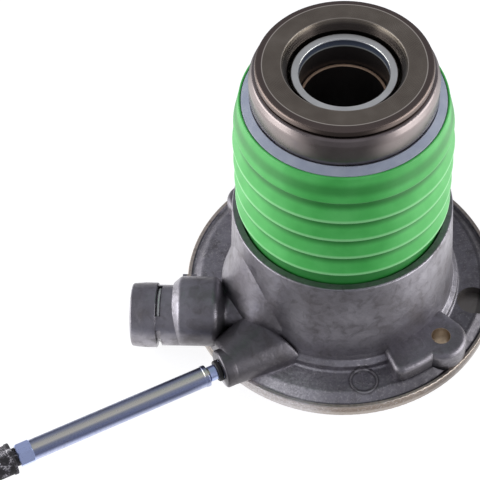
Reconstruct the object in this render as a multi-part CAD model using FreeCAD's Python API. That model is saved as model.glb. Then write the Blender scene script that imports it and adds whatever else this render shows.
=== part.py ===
import FreeCAD, Part
import math
import os
from FreeCAD import Vector

# Concentric clutch slave cylinder: a hydraulic release bearing round a gearbox input shaft.
# Lengths are millimetres and angles are degrees. The origin is on the cylinder's axis, in the
# plane of the mounting face, and +Z runs up the axis towards the clutch. The part stands as the
# spring leaves it, with the piston out against its stop.

# Guide tube that the piston slides on
tube_bore_r = 14.3
tube_wall = 1.1
tube_r = tube_bore_r + tube_wall
tube_top_z = 111.0
tube_edge_round = 0.35

# Hydraulic cylinder round the guide tube
annulus_width = 8.6
cylinder_bore_r = tube_r + annulus_width
cylinder_wall = 3.5
cylinder_r = cylinder_bore_r + cylinder_wall
cylinder_lip_height = 2.3
chamber_floor_z = 10.0

# Preload spring round the cylinder
spring_inner_gap = 1.8
spring_outer_gap = 3.7
spring_wire_r = 1.6
spring_r = cylinder_r + spring_inner_gap + spring_wire_r
spring_turns = 6.0
spring_seat_gap = 0.05
spring_section_sides = 8
spring_floor_z = 20.0

# Cup that shields the spring and holds the foot of the gaiter
spring_pocket_r = spring_r + spring_wire_r + spring_outer_gap
bead_ledge_width = 2.1
cup_bore_r = spring_pocket_r + bead_ledge_width
cup_rim_wall = 2.7
cup_rim_r = cup_bore_r + cup_rim_wall
cup_draft = 2.0
cup_root_r = cup_rim_r + cup_draft
cup_foot_width = 2.4
cup_foot_r = cup_root_r + cup_foot_width
cup_foot_z = 10.6
cup_foot_draft = 0.4
cup_foot_slope = 1.2
cup_rim_z = 53.0
bead_ledge_depth = 9.0
bead_ledge_z = cup_rim_z - bead_ledge_depth
casting_fillet = 1.0
wall_overlap = 2.0

# Bolt lugs, one on each side of the flange
bolt_circle_step = 7.3
bolt_circle_r = cup_root_r + bolt_circle_step
bolt_hole_r = 3.5
front_lug_angle = -41.0
back_lug_angle = 139.0
front_lug_boss_r = 9.6
back_lug_boss_r = 8.2
lug_top_z = 14.5
lug_arm_reach = 11.7
lug_arm_r = cup_root_r + lug_arm_reach
lug_arm_angle = 26.0
lug_corner_round = 3.5
lug_edge_round = 2.2
lug_tip_share = 0.97

# Flange
flange_margin = 10.2
flange_r = bolt_circle_r + flange_margin
rim_height = 5.9
rim_width = 1.5
rim_draft = 0.4
rim_chamfer = 0.5
rim_groove_depth = 0.7
flange_top_z = 7.6
flange_flat_width = 9.4
flange_dish_round = 2.0

# Blind locating recess in the flange's top
recess_r = 6.2
recess_margin = 8.2
recess_radius = flange_r - recess_margin
recess_angle = -12.3
recess_depth = 3.6

# Plain casting ring with dots where a foundry mark would be
mark_r = 5.4
mark_line = 0.8
mark_height = 0.45
mark_margin = 11.1
mark_radius = flange_r - mark_margin
mark_angle = -79.5
mark_dot_r = 0.75
mark_dot_circle_r = 2.6
mark_dot_count = 3

# Cored pockets under the spring floor
core_inner_wall = 2.0
core_inner_r = cylinder_r + core_inner_wall
core_outer_wall = 0.7
core_outer_r = spring_pocket_r - core_outer_wall
core_floor = 7.0
core_round = 1.5
core_count = 6
core_first_angle = -56.0
core_sweep = 29.0
core_step = 38.0

# Inlet port, a plug-in socket along -X
port_y = -25.5
port_z = 14.0
port_reach = 18.75
port_end_x = -flange_r - port_reach
port_collar_r = 12.4
port_neck_step = 0.8
port_neck_r = port_collar_r - port_neck_step
port_taper = 0.4
port_taper_length = 5.0
port_boss_step = 1.7
port_boss_r = port_neck_r + port_boss_step
port_boss_from = 18.65
port_boss_ramp = 3.0
port_boss_rise = 1.5
port_boss_shift = 1.05
port_boss_width = 13.9
port_boss_to = port_boss_from + port_boss_width
port_boss_slope = 3.5
port_root_step = 5.8
port_root_r = port_boss_r - port_root_step
port_end_round = 0.8
port_mouth_r = 7.4
port_mouth_depth = 13.2
port_bore_step = 1.9
port_bore_r = port_mouth_r - port_bore_step
port_bore_length = 16.0
port_bore_depth = port_mouth_depth + port_bore_length
port_seal_wall = 0.7
port_seal_r = port_bore_r + port_seal_wall
port_seal_bore_r = 4.2
port_seal_width = 3.0
port_seal_depth = port_bore_depth + port_seal_width
port_drill_r = 3.0
port_fillet_below = 4.5
port_fillet_y = port_y - port_fillet_below
port_fillet_angle = 10.0
port_fillet_length = 10.0
port_fillet_r = 2.2
port_fillet_z = 6.2

# Groove round the port for the wire clip
clip_groove_from = 10.65
clip_groove_x = port_end_x + clip_groove_from
clip_groove_width = 1.9
clip_groove_depth = 3.0
clip_groove_floor_r = port_collar_r - clip_groove_depth
clip_top_half_angle = 38.0
clip_low_half_angle = 114.0

# Wire clip that holds the pipe end in the port
clip_wire_r = 0.6
clip_seat_gap = 0.05
clip_slot_gap = 0.2
clip_leg_below = 8.4

# Bleed boss and the cast web behind it
bleed_angle = 208.86
bleed_face_x = -44.55
bleed_face_y = -48.64
bleed_z = 12.0
bleed_boss_r = 7.5
bleed_boss_round = 0.9
bleed_boss_straight = 4.0
bleed_boss_neck = 17.0
bleed_boss_neck_step = 3.4
bleed_boss_neck_r = bleed_boss_r - bleed_boss_neck_step
bleed_boss_length = cup_bore_r
web_angle_from = 206.0
web_margin = 0.2
web_r = flange_r - web_margin
web_foot_z = 0.6
web_top_z = 11.5
web_round = 4.0
wedge_angle_from = 219.5
wedge_angle_to = 232.0
wedge_rise = 3.5
wedge_top_z = web_top_z + wedge_rise
wedge_root_rise = 6.5
wedge_root_z = wedge_top_z + wedge_root_rise
wedge_round = 2.5

# Swell of the cup's wall behind the port and the bleed boss
swell_angle = 209.0
swell_step = 5.5
swell_r = 26.0
swell_shift = cup_root_r + swell_step - swell_r
swell_shoulder_z = 22.0
swell_top_z = 46.0
swell_sink = 0.3
swell_round = 12.0

# Long bleed screw
bleed_thread_r = 4.0
bleed_thread_gap = 0.06
bleed_thread_depth = 11.0
bleed_thread_runout = 0.5
bleed_drill_r = 1.6
bleed_drill_length = 49.5
bleed_seat_flat = 0.1
bleed_shank_round = 0.6
bleed_neck_step = 1.1
bleed_neck_r = bleed_thread_r - bleed_neck_step
bleed_neck_groove = 0.4
bleed_lead = 0.4
bleed_ring_gap = 0.08
bleed_ring_step = 1.2
bleed_ring_r = bleed_neck_r + bleed_ring_step
bleed_ring_width = 1.8
bleed_collar_from = 5.4
bleed_collar_step = 1.25
bleed_collar_r = bleed_neck_r + bleed_collar_step
bleed_collar_width = 1.6
bleed_tube_step = 0.08
bleed_tube_r = bleed_thread_r - bleed_tube_step
bleed_hex_from = 76.2
bleed_hex_flats = 8.0
bleed_hex_length = 5.5
bleed_hex_turn = 4.5
bleed_hex_chamfer = 0.45
bleed_seat_gap = 0.3
nipple_neck_r = 2.35
nipple_barb_step = 0.6
nipple_barb_r = nipple_neck_r + nipple_barb_step
nipple_tip_r = 2.3
nipple_neck_length = 4.3
nipple_barb_from = bleed_hex_from + bleed_hex_length + nipple_neck_length
nipple_barb_lead = 0.4
nipple_barb_width = 1.2
nipple_length = 6.3
nipple_end = nipple_barb_from + nipple_length
bleed_bore_r = 1.1
bleed_cross_r = 0.9
bleed_cross_at = 3.0
bleed_cross_lead = 1.5

# Rubber dust cap on the bleed nipple
cap_gap = 1.7
cap_from = bleed_hex_from + bleed_hex_length + cap_gap
cap_length = 13.4
cap_bore_gap = 0.12
cap_bore_r = nipple_barb_r + cap_bore_gap
cap_wall = 2.88
cap_r = cap_bore_r + cap_wall
cap_crown = 3.2
cap_end_round = 2.4
cap_lip_width = 1.5
cap_lip_groove = 0.35
cap_neck_gap = 0.2
cap_neck_wall = 0.4

# Piston, its seal and its stop ring
running_gap = 0.07
piston_bottom_z = 60.0
seal_height = 7.0
seal_bottom_z = piston_bottom_z - seal_height
seal_lip_width = 2.3
seal_lip_depth = 3.8
seal_relief = 0.3
piston_head_height = 8.0
piston_head_top_z = piston_bottom_z + piston_head_height
piston_stem_step = 1.1
piston_stem_height = 34.0
piston_top_z = piston_head_top_z + piston_stem_height
stop_ring_gap = 0.3
stop_ring_height = 1.4
stop_ring_depth = 0.65
stop_ring_fit = 0.05
stop_ring_inner_gap = 0.15
stop_ring_open_angle = 24.0
cylinder_top_z = piston_head_top_z + stop_ring_gap + stop_ring_height + cylinder_lip_height

# Moulded support ring between the piston, the spring, the gaiter and the bearing
support_hub_height = 9.3
support_seat_z = piston_top_z + support_hub_height
support_seat_thickness = 3.2
support_hub_step = 0.07
support_hub_r = cylinder_bore_r - running_gap - piston_stem_step + support_hub_step
support_rim_gap = 0.7
support_rim_wall = 2.6
support_rim_r = spring_r + spring_wire_r + support_rim_gap + support_rim_wall
support_rim_drop = 1.1
support_rim_z = support_seat_z - support_rim_drop
support_rim_height = 6.8
support_rim_bottom_z = support_rim_z - support_rim_height
support_cone_width = 3.1
support_cone_top_r = support_rim_r - support_cone_width
support_cone_rise = 0.8
support_cone_top_z = support_seat_z + support_cone_rise
support_cone_draft = 0.15
support_groove_drop = 4.2
support_groove_z = support_rim_z - support_groove_drop
support_groove_height = 2.0
support_groove_depth = 0.9
support_edge_round = 0.6

# Sleeve pressed into the piston, with the bright collar that shows inside the bearing
sleeve_tube_gap = 0.2
sleeve_bore_r = tube_r + sleeve_tube_gap
sleeve_wall = 1.6
sleeve_r = sleeve_bore_r + sleeve_wall
sleeve_depth = 14.0
sleeve_bottom_z = piston_top_z - sleeve_depth
sleeve_collar_step = 1.2
sleeve_collar_r = sleeve_r + sleeve_collar_step
sleeve_collar_height = 2.5
sleeve_collar_round = 0.5

# Thrust ball bearing
shell_wall = 1.2
shell_seat_gap = 0.05
shell_bottom_z = support_seat_z + shell_seat_gap
fixed_race_bottom_z = shell_bottom_z + shell_wall + shell_seat_gap
fixed_race_gap = 1.8
fixed_race_inner_r = sleeve_r + fixed_race_gap
ball_r = 3.175
ball_count = 18
ball_circle_step = 6.5
ball_circle_r = fixed_race_inner_r + ball_circle_step
ball_rise = 5.6
ball_centre_z = fixed_race_bottom_z + ball_rise
track_gap = 0.06
race_gap = 3.2
turning_face_rise = 9.0
turning_face_z = ball_centre_z + turning_face_rise
turning_bore_gap = 1.2
turning_bore_r = sleeve_collar_r + turning_bore_gap
turning_bevel_width = 1.9
turning_face_inner_r = turning_bore_r + turning_bevel_width
turning_face_width = 6.9
turning_face_outer_r = turning_face_inner_r + turning_face_width
turning_shoulder_round = 2.3
turning_brim_r = turning_face_outer_r + turning_shoulder_round
turning_brim_gap = 0.45
turning_brim_edge = 0.3
turning_brim_step = 1.1
turning_body_r = turning_brim_r - turning_brim_step
turning_bevel_depth = 3.8
turning_bevel_z = turning_face_z - turning_bevel_depth
cage_inner_gap = 3.0
cage_inner_r = fixed_race_inner_r + cage_inner_gap
cage_width = 7.0
cage_outer_r = cage_inner_r + cage_width
cage_height = 1.8
cage_pocket_gap = 0.15
sleeve_face_drop = 4.2
sleeve_top_z = turning_face_z - sleeve_face_drop

# Drawn shell of the bearing with its seal, and the dished washer under the collar
shell_side_width = 3.3
shell_r = turning_body_r + shell_side_width
shell_bottom_draft = 0.6
shell_bottom_r = shell_r - shell_bottom_draft
shell_turn_in = 3.0
shell_flare_height = 2.6
shell_face_drop = 3.4
shell_top_z = turning_face_z - shell_face_drop
shell_shoulder_height = 3.1
shell_shoulder_z = shell_top_z - shell_shoulder_height
shell_top_step = 1.3
shell_top_r = shell_r - shell_top_step
shell_lip_gap = 0.35
shell_lip_r = turning_body_r + shell_lip_gap
shell_shoulder_round = 4.0
shell_top_round = 1.5
shell_gap = 0.06
bearing_seal_rise = 2.2
bearing_seal_z = ball_centre_z + bearing_seal_rise
bearing_seal_height = 1.6
bearing_seal_gap = 0.12
bearing_seal_slope = 0.6
bearing_seal_bevel_height = 1.6
bearing_seal_bevel_width = 1.1
washer_thickness = 0.5
washer_flat = 0.8
washer_width = 3.75
washer_seat_gap = 0.05
washer_outer_r = sleeve_r + washer_seat_gap + washer_width

# Gaiter
gaiter_wall = 1.3
gaiter_lip_width = 1.0
gaiter_lip_r = support_rim_r + gaiter_lip_width
gaiter_lip_height = 1.0
gaiter_lip_edge = 0.5
gaiter_shoulder_width = 2.1
gaiter_shoulder_r = support_rim_r + gaiter_shoulder_width
gaiter_shoulder_drop = 6.0
gaiter_shoulder_z = support_rim_z - gaiter_shoulder_drop
gaiter_valley_width = 1.5
gaiter_valley_r = support_rim_r + gaiter_valley_width
gaiter_crest_rise = 2.2
gaiter_crest_r = gaiter_valley_r + gaiter_crest_rise
gaiter_top_crest_rise = 1.5
gaiter_top_crest_r = gaiter_valley_r + gaiter_top_crest_rise
gaiter_top_crest_drop = 10.7
gaiter_top_crest_z = support_rim_z - gaiter_top_crest_drop
gaiter_fold_count = 5
gaiter_foot_rise = 15.98
gaiter_fold_span = gaiter_top_crest_z - cup_rim_z + bead_ledge_depth - gaiter_foot_rise
gaiter_crest_pitch = gaiter_fold_span / (gaiter_fold_count - 1)
gaiter_undercut = 1.7
gaiter_crest_flat = 0.5
gaiter_collar_gap = 0.8
gaiter_collar_r = cup_bore_r - gaiter_collar_gap
gaiter_bead_height = 3.0
gaiter_bead_gap = 0.06
gaiter_bead_slope = 1.5
gaiter_slope_share = 0.55

# O-rings
flange_ring_inset = 0.7
flange_ring_r = cup_root_r - flange_ring_inset
flange_ring_section_r = 1.2
flange_ring_groove_gap = 0.2
tube_ring_section_r = 0.92
tube_ring_groove_gap = 0.15
tube_ring_z = 5.5
ring_lift = 0.05

AXIS = Vector(0, 0, 1)
ORIGIN = Vector(0, 0, 0)
FULL_TURN = 360.0
EXTRA = 1.0
TOUCH = 0.01


def polar(radius, angle, height=0.0):
    """A point at a radius and an angle round the main axis."""
    turn = math.radians(angle)
    return Vector(radius * math.cos(turn), radius * math.sin(turn), height)


def half_plane(radius, height):
    """Places a (radius, height) corner in the plane that is spun round the main axis."""
    return Vector(radius, 0, height)


def rounded_outline(corners, place):
    """A closed outline through corners (a, b) or (a, b, radius), each rounded by its radius."""
    points = [place(corner[0], corner[1]) for corner in corners]
    radii = [corner[2] if len(corner) > 2 else 0.0 for corner in corners]
    count = len(points)
    starts = []
    ends = []
    middles = []
    for index in range(count):
        here = points[index]
        before = points[index - 1] - here
        after = points[(index + 1) % count] - here
        if radii[index] == 0.0:
            starts.append(here)
            ends.append(here)
            middles.append(None)
            continue
        half_angle = before.getAngle(after) / 2
        setback = radii[index] / math.tan(half_angle)
        room = 0.49 * min(before.Length, after.Length)
        setback = min(setback, room)
        radius = setback * math.tan(half_angle)
        before.normalize()
        after.normalize()
        bisector = before + after
        bisector.normalize()
        starts.append(here + before * setback)
        ends.append(here + after * setback)
        middles.append(here + bisector * (radius / math.sin(half_angle) - radius))
    edges = []
    for index in range(count):
        if middles[index] is not None:
            edges.append(Part.Arc(starts[index], middles[index], ends[index]).toShape())
        following = (index + 1) % count
        if ends[index].distanceToPoint(starts[following]) > 1e-6:
            edges.append(Part.LineSegment(ends[index], starts[following]).toShape())
    return Part.Wire(edges)


def spun(corners, angle=FULL_TURN):
    """A solid spun round the main axis from an outline of (radius, height) corners."""
    return Part.Face(rounded_outline(corners, half_plane)).revolve(ORIGIN, AXIS, angle)


def ring(inner_r, outer_r, bottom_z, top_z):
    """A plain ring round the main axis."""
    corners = [(inner_r, bottom_z), (outer_r, bottom_z), (outer_r, top_z), (inner_r, top_z)]
    return spun(corners)


def o_ring(major_r, section_r, height):
    """A round-section seal round the main axis."""
    return Part.makeTorus(major_r, section_r, Vector(0, 0, height), AXIS)


def extruded(corners, bottom_z, height):
    """A plan outline of (x, y) corners raised along the main axis."""
    outline = rounded_outline(corners, lambda x, y: Vector(x, y, bottom_z))
    return Part.Face(outline).extrude(Vector(0, 0, height))


def fused(first, others):
    """One clean solid from several that meet."""
    return first.multiFuse(others).removeSplitter()


def rounded_top(solid, top_z, radius, clear_r):
    """Rounds each edge in the plane at top_z whose middle lies outside clear_r from the axis."""
    edges = []
    for edge in solid.Edges:
        box = edge.BoundBox
        middle = edge.valueAt((edge.FirstParameter + edge.LastParameter) / 2)
        level = abs(box.ZMin - top_z) < TOUCH and abs(box.ZMax - top_z) < TOUCH
        if level and math.hypot(middle.x, middle.y) > clear_r:
            edges.append(edge)
    return solid.makeFillet(radius, edges)


# Port frame: distance in from the socket's mouth, and radius about the port's own axis
PORT_MOUTH = Vector(port_end_x, port_y, port_z)
PORT_IN = Vector(1, 0, 0)


def spun_on_port(corners, centre=PORT_MOUTH):
    """A solid spun round the port's axis from corners (radius, distance in from the mouth)."""
    outline = rounded_outline(corners, lambda r, d: centre + PORT_IN * d + Vector(0, r, 0))
    return Part.Face(outline).revolve(centre, PORT_IN, FULL_TURN)


# Bleed frame: distance out from the boss's face, and radius about the screw's own axis
BLEED_FACE = Vector(bleed_face_x, bleed_face_y, bleed_z)
BLEED_OUT = polar(1.0, bleed_angle)
BLEED_SIDE = polar(1.0, bleed_angle + 90)


def spun_on_bleed(corners):
    """A solid spun round the bleed axis from corners (radius, distance out from the face)."""
    outline = rounded_outline(corners, lambda r, d: BLEED_FACE + BLEED_OUT * d + AXIS * r)
    return Part.Face(outline).revolve(BLEED_FACE, BLEED_OUT, FULL_TURN)


def make_lug(angle, boss_r):
    """A bolt lug: a round-ended boss run into an arm that follows the cup's wall."""
    bottom_z = rim_height - rim_groove_depth - EXTRA
    height = lug_top_z - bottom_z
    root_r = cup_rim_r - wall_overlap
    side = polar(boss_r, angle + 90)
    root = polar(root_r, angle)
    tip = polar(bolt_circle_r + boss_r, angle)
    tip_round = lug_tip_share * boss_r
    boss_corners = [(root.x + side.x, root.y + side.y), (tip.x + side.x, tip.y + side.y, tip_round),
                    (tip.x - side.x, tip.y - side.y, tip_round), (root.x - side.x, root.y - side.y)]
    boss = extruded(boss_corners, bottom_z, height)
    arm = spun([(root_r, bottom_z), (lug_arm_r, bottom_z), (lug_arm_r, lug_top_z), (root_r, lug_top_z)],
               lug_arm_angle)
    arm.rotate(ORIGIN, AXIS, angle - lug_arm_angle)
    corner = polar(lug_arm_r, angle - lug_arm_angle)
    corner_edges = []
    for edge in arm.Edges:
        box = edge.BoundBox
        away = math.hypot(box.Center.x - corner.x, box.Center.y - corner.y)
        if box.ZLength > height / 2 and away < TOUCH:
            corner_edges.append(edge)
    arm = arm.makeFillet(lug_corner_round, corner_edges)
    return rounded_top(fused(boss, [arm]), lug_top_z, lug_edge_round, cup_root_r)


def make_port_boss():
    """The socket's outside: collar, clip groove, neck and the thicker boss behind them."""
    neck_from = clip_groove_from - clip_groove_width / 2
    outline = [(0, 0), (port_collar_r - port_taper, 0, port_end_round),
               (port_collar_r, port_taper_length, casting_fillet), (port_collar_r, neck_from, 0.3),
               (port_neck_r, neck_from, 0.2), (port_neck_r, port_boss_to - casting_fillet),
               (0, port_boss_to - casting_fillet)]
    socket = spun_on_port(outline)
    boss_centre = PORT_MOUTH + Vector(0, port_boss_shift, port_boss_rise)
    ramp_from = port_boss_from - port_boss_ramp
    root_from = port_boss_to + port_boss_slope
    back = -port_end_x - spring_pocket_r + port_boss_r / 2
    boss_outline = [(0, ramp_from), (port_neck_r - casting_fillet, ramp_from, casting_fillet),
                    (port_boss_r, port_boss_from, 2 * casting_fillet),
                    (port_boss_r, port_boss_to, 3 * casting_fillet),
                    (port_root_r, root_from, 2 * casting_fillet), (port_root_r, back), (0, back)]
    return fused(socket, [spun_on_port(boss_outline, boss_centre)])


def make_port_fillet():
    """The low cast fillet in the corner between the port and the flange's edge."""
    edge_x = -math.sqrt(web_r ** 2 - port_fillet_y ** 2)
    along = math.degrees(math.atan2(port_fillet_y, edge_x)) + port_fillet_angle
    far = polar(web_r, along)
    root = polar(cup_root_r, along)
    end_x = edge_x - port_fillet_length
    corners = [(-cup_rim_r, 0), (end_x, 0), (end_x, port_fillet_y), (edge_x, port_fillet_y, port_fillet_r),
               (far.x, far.y), (root.x, root.y)]
    return extruded(corners, web_foot_z, port_fillet_z - web_foot_z)


def make_bleed_boss():
    """The round boss behind the bleed screw, which narrows on its way in through the web."""
    return spun_on_bleed([(0, 0), (bleed_boss_r, 0, bleed_boss_round),
                          (bleed_boss_r, -bleed_boss_straight, bleed_boss_neck / 2),
                          (bleed_boss_neck_r, -bleed_boss_neck, bleed_boss_neck / 2),
                          (bleed_boss_neck_r, -bleed_boss_length), (0, -bleed_boss_length)])


def make_web():
    """The cast web between the port and the bleed boss, with a higher wedge over the boss."""
    root_r = cup_rim_r - wall_overlap
    web = spun([(root_r, web_foot_z), (web_r, web_foot_z), (web_r, web_top_z, web_round),
                (root_r, web_top_z)], wedge_angle_to - web_angle_from)
    web.rotate(ORIGIN, AXIS, web_angle_from)
    wedge = spun([(root_r, web_foot_z), (web_r, web_foot_z), (web_r, wedge_top_z, web_round),
                  (root_r, wedge_root_z)], wedge_angle_to - wedge_angle_from)
    ridges = []
    for edge in wedge.Edges:
        middle = edge.valueAt((edge.FirstParameter + edge.LastParameter) / 2)
        slanted = edge.BoundBox.ZLength > TOUCH and middle.z > wedge_top_z - web_round
        if slanted and math.hypot(middle.x, middle.y) > root_r + EXTRA:
            ridges.append(edge)
    wedge = wedge.makeFillet(wedge_round, ridges)
    wedge.rotate(ORIGIN, AXIS, wedge_angle_from)
    return [web, wedge]


def make_swell():
    """The thick side of the cup's wall: a blunt cone that stands off the axis."""
    top_r = cup_rim_r - swell_sink - swell_shift
    outline = [(0, web_foot_z), (swell_r, web_foot_z), (swell_r, swell_shoulder_z, swell_round),
               (top_r, swell_top_z), (0, swell_top_z)]
    swell = spun(outline)
    swell.translate(polar(swell_shift, swell_angle))
    return swell


def make_clip_groove():
    """The groove for the wire clip, broken by two lands that the clip's legs pass through."""
    start = clip_groove_from - clip_groove_width / 2
    end = start + clip_groove_width
    outer_r = port_collar_r + EXTRA
    cuts = []
    for middle_angle, half in ((90.0, clip_top_half_angle), (270.0, clip_low_half_angle)):
        band = spun_on_port([(clip_groove_floor_r, start), (outer_r, start), (outer_r, end),
                             (clip_groove_floor_r, end)])
        reach = outer_r * 3
        fan = [ORIGIN]
        for share in (-1.0, -0.5, 0.0, 0.5, 1.0):
            turn = math.radians(middle_angle + half * share)
            fan.append(Vector(0, reach * math.cos(turn), reach * math.sin(turn)))
        fan = [PORT_MOUTH + PORT_IN * start + point for point in fan]
        fan.append(fan[0])
        wedge = Part.Face(Part.makePolygon(fan)).extrude(PORT_IN * clip_groove_width)
        cuts.append(band.common(wedge))
    return cuts


def clip_line_r():
    """Radius of the clip's wire centre line round the port's axis."""
    return clip_groove_floor_r + clip_wire_r + clip_seat_gap


def clip_leg_offset():
    """Distance of each leg of the clip from the port's axis."""
    return clip_line_r() * math.cos(math.radians(90.0 - clip_top_half_angle))


def make_port_hollows():
    """The socket's stepped bore, its drilling to the chamber and the clip's two leg slots."""
    depth = -port_end_x
    bore = [(0, -EXTRA), (port_mouth_r, -EXTRA), (port_mouth_r, port_mouth_depth),
            (port_bore_r, port_mouth_depth), (port_bore_r, port_bore_depth), (port_seal_r, port_bore_depth),
            (port_seal_r, port_seal_depth), (port_drill_r, port_seal_depth), (port_drill_r, depth),
            (0, depth)]
    hollows = [spun_on_port(bore)]
    width = 2 * (clip_wire_r + clip_slot_gap)
    tall = 2 * port_collar_r + 2 * EXTRA
    for side in (-1, 1):
        leg_y = port_y + side * clip_leg_offset()
        corner = Vector(clip_groove_x - width / 2, leg_y - width / 2, port_z - tall / 2)
        hollows.append(Part.makeBox(width, width, tall, corner))
    return hollows + make_clip_groove()


def make_bleed_hollow():
    """The tapped hole for the bleed screw and the drilling on to the chamber."""
    taper = bleed_thread_depth + bleed_thread_r - bleed_drill_r
    outline = [(0, EXTRA), (bleed_thread_r, EXTRA), (bleed_thread_r, -bleed_thread_depth),
               (bleed_drill_r, -taper), (bleed_drill_r, -bleed_drill_length), (0, -bleed_drill_length)]
    return spun_on_bleed(outline)


def make_core_pockets():
    """Pockets cored from below, clear of the port's and the bleed's drillings."""
    core_top_z = spring_floor_z - core_floor
    pockets = []
    for index in range(core_count):
        pocket = spun([(core_inner_r, -EXTRA), (core_outer_r, -EXTRA), (core_outer_r, core_top_z, core_round),
                       (core_inner_r, core_top_z, core_round)], core_sweep)
        pocket.rotate(ORIGIN, AXIS, core_first_angle + core_step * index)
        pockets.append(pocket)
    return pockets


def make_casting_mark():
    """A raised plain ring round a few dots."""
    centre = polar(mark_radius, mark_angle, flange_top_z - EXTRA)
    height = EXTRA + mark_height
    disc = Part.makeCylinder(mark_r, height, centre)
    pieces = [disc.cut(Part.makeCylinder(mark_r - mark_line, height, centre))]
    for index in range(mark_dot_count):
        spot = centre + polar(mark_dot_circle_r, 90 + index * FULL_TURN / mark_dot_count)
        pieces.append(Part.makeCylinder(mark_dot_r, height, spot))
    return pieces


def make_housing():
    """The die-cast housing: flange, cup, cylinder, lugs, port and bleed boss in one piece."""
    wall_r = cylinder_r
    dish_r = cup_foot_r + flange_flat_width
    outside = [(1.0, 0), (flange_r - rim_draft, 0, rim_chamfer), (flange_r, rim_height, rim_chamfer),
               (flange_r - rim_width, rim_height, 0.3),
               (flange_r - rim_width - rim_groove_depth, rim_height - rim_groove_depth, 0.5),
               (dish_r, flange_top_z, flange_dish_round), (cup_foot_r, flange_top_z, casting_fillet),
               (cup_foot_r, cup_foot_z, casting_fillet),
               (cup_root_r + cup_foot_draft, cup_foot_z + cup_foot_slope, casting_fillet),
               (cup_root_r, lug_top_z), (cup_rim_r, cup_rim_z, 0.6), (1.0, cup_rim_z)]
    body = spun(outside)
    lugs = [make_lug(front_lug_angle, front_lug_boss_r), make_lug(back_lug_angle, back_lug_boss_r)]
    groups = [[make_swell()], [make_port_boss()], make_web(), [make_bleed_boss()], [make_port_fillet()],
              lugs, make_casting_mark(), [ring(1.0, wall_r, spring_floor_z, cylinder_top_z)]]
    for group in groups:
        body = fused(body, group)
    groove_bottom = piston_head_top_z + stop_ring_gap - stop_ring_fit
    groove_top = groove_bottom + stop_ring_height + 2 * stop_ring_fit
    groove_r = cylinder_bore_r + stop_ring_depth
    bore = [(0.5, chamber_floor_z), (cylinder_bore_r, chamber_floor_z), (cylinder_bore_r, groove_bottom),
            (groove_r, groove_bottom), (groove_r, groove_top), (cylinder_bore_r, groove_top),
            (cylinder_bore_r, cylinder_top_z + EXTRA), (0.5, cylinder_top_z + EXTRA)]
    pocket = [(wall_r, spring_floor_z, 1.0), (spring_pocket_r, spring_floor_z, 1.0),
              (spring_pocket_r, bead_ledge_z), (cup_bore_r, bead_ledge_z), (cup_bore_r, cup_rim_z + EXTRA),
              (wall_r, cup_rim_z + EXTRA)]
    tube_groove_r = tube_r + 2 * tube_ring_section_r + tube_ring_groove_gap
    tube_groove_top = tube_ring_z + 2 * (tube_ring_section_r + tube_ring_groove_gap)
    seal_half = flange_ring_section_r + flange_ring_groove_gap
    seal_depth = 2 * flange_ring_section_r + 2 * ring_lift
    cuts = [spun(bore), spun(pocket), ring(0.2, tube_r, -EXTRA, chamber_floor_z + EXTRA),
            ring(tube_r - 0.1, tube_groove_r, tube_ring_z, tube_groove_top),
            ring(flange_ring_r - seal_half, flange_ring_r + seal_half, -EXTRA, seal_depth)]
    for angle in (front_lug_angle, back_lug_angle):
        hole = polar(bolt_circle_r, angle, -EXTRA)
        cuts.append(Part.makeCylinder(bolt_hole_r, lug_top_z + 2 * EXTRA, hole))
    recess = polar(recess_radius, recess_angle, flange_top_z - recess_depth)
    cuts.append(Part.makeCylinder(recess_r, lug_top_z, recess))
    cuts += make_core_pockets() + make_port_hollows() + [make_bleed_hollow()]
    cuts.append(Part.makeCylinder(1.5, 2 * cup_rim_z, Vector(0, 0, -EXTRA)))
    return body.cut(cuts)


def make_guide_tube():
    """The steel tube pressed into the housing's base, which the input shaft runs through."""
    return spun([(tube_bore_r, 0), (tube_r, 0), (tube_r, tube_top_z, tube_edge_round),
                 (tube_bore_r, tube_top_z, tube_edge_round)])


def make_guide_tube_ring():
    """The O-ring that seals the tube in the base."""
    middle = tube_ring_z + tube_ring_section_r + tube_ring_groove_gap
    return o_ring(tube_r + tube_ring_section_r + ring_lift, tube_ring_section_r, middle)


def make_flange_ring():
    """The O-ring in the mounting face."""
    return o_ring(flange_ring_r, flange_ring_section_r, flange_ring_section_r + ring_lift)


def make_port_seal():
    """The ring seal at the bottom of the socket."""
    start = port_bore_depth + ring_lift
    end = port_seal_depth - ring_lift
    outer = port_seal_r - ring_lift
    return spun_on_port([(port_seal_bore_r, start, 0.5), (outer, start), (outer, end),
                         (port_seal_bore_r, end, 0.5)])


def make_clip():
    """The wire clip: a crown in the groove and two legs down through the lands."""
    line_r = clip_line_r()
    centre = Vector(clip_groove_x, port_y, port_z)
    offset = clip_leg_offset()
    bend_z = line_r * math.sin(math.radians(90.0 - clip_top_half_angle))
    left = centre + Vector(0, -offset, bend_z)
    right = centre + Vector(0, offset, bend_z)
    left_foot = centre + Vector(0, -offset, -clip_leg_below)
    right_foot = centre + Vector(0, offset, -clip_leg_below)
    crown = Part.Arc(left, centre + Vector(0, 0, line_r), right).toShape()
    path = Part.Wire([Part.LineSegment(left_foot, left).toShape(), crown,
                      Part.LineSegment(right, right_foot).toShape()])
    section = Part.Wire([Part.makeCircle(clip_wire_r, left_foot, AXIS)])
    return path.makePipeShell([section], True, True, 2)


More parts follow.
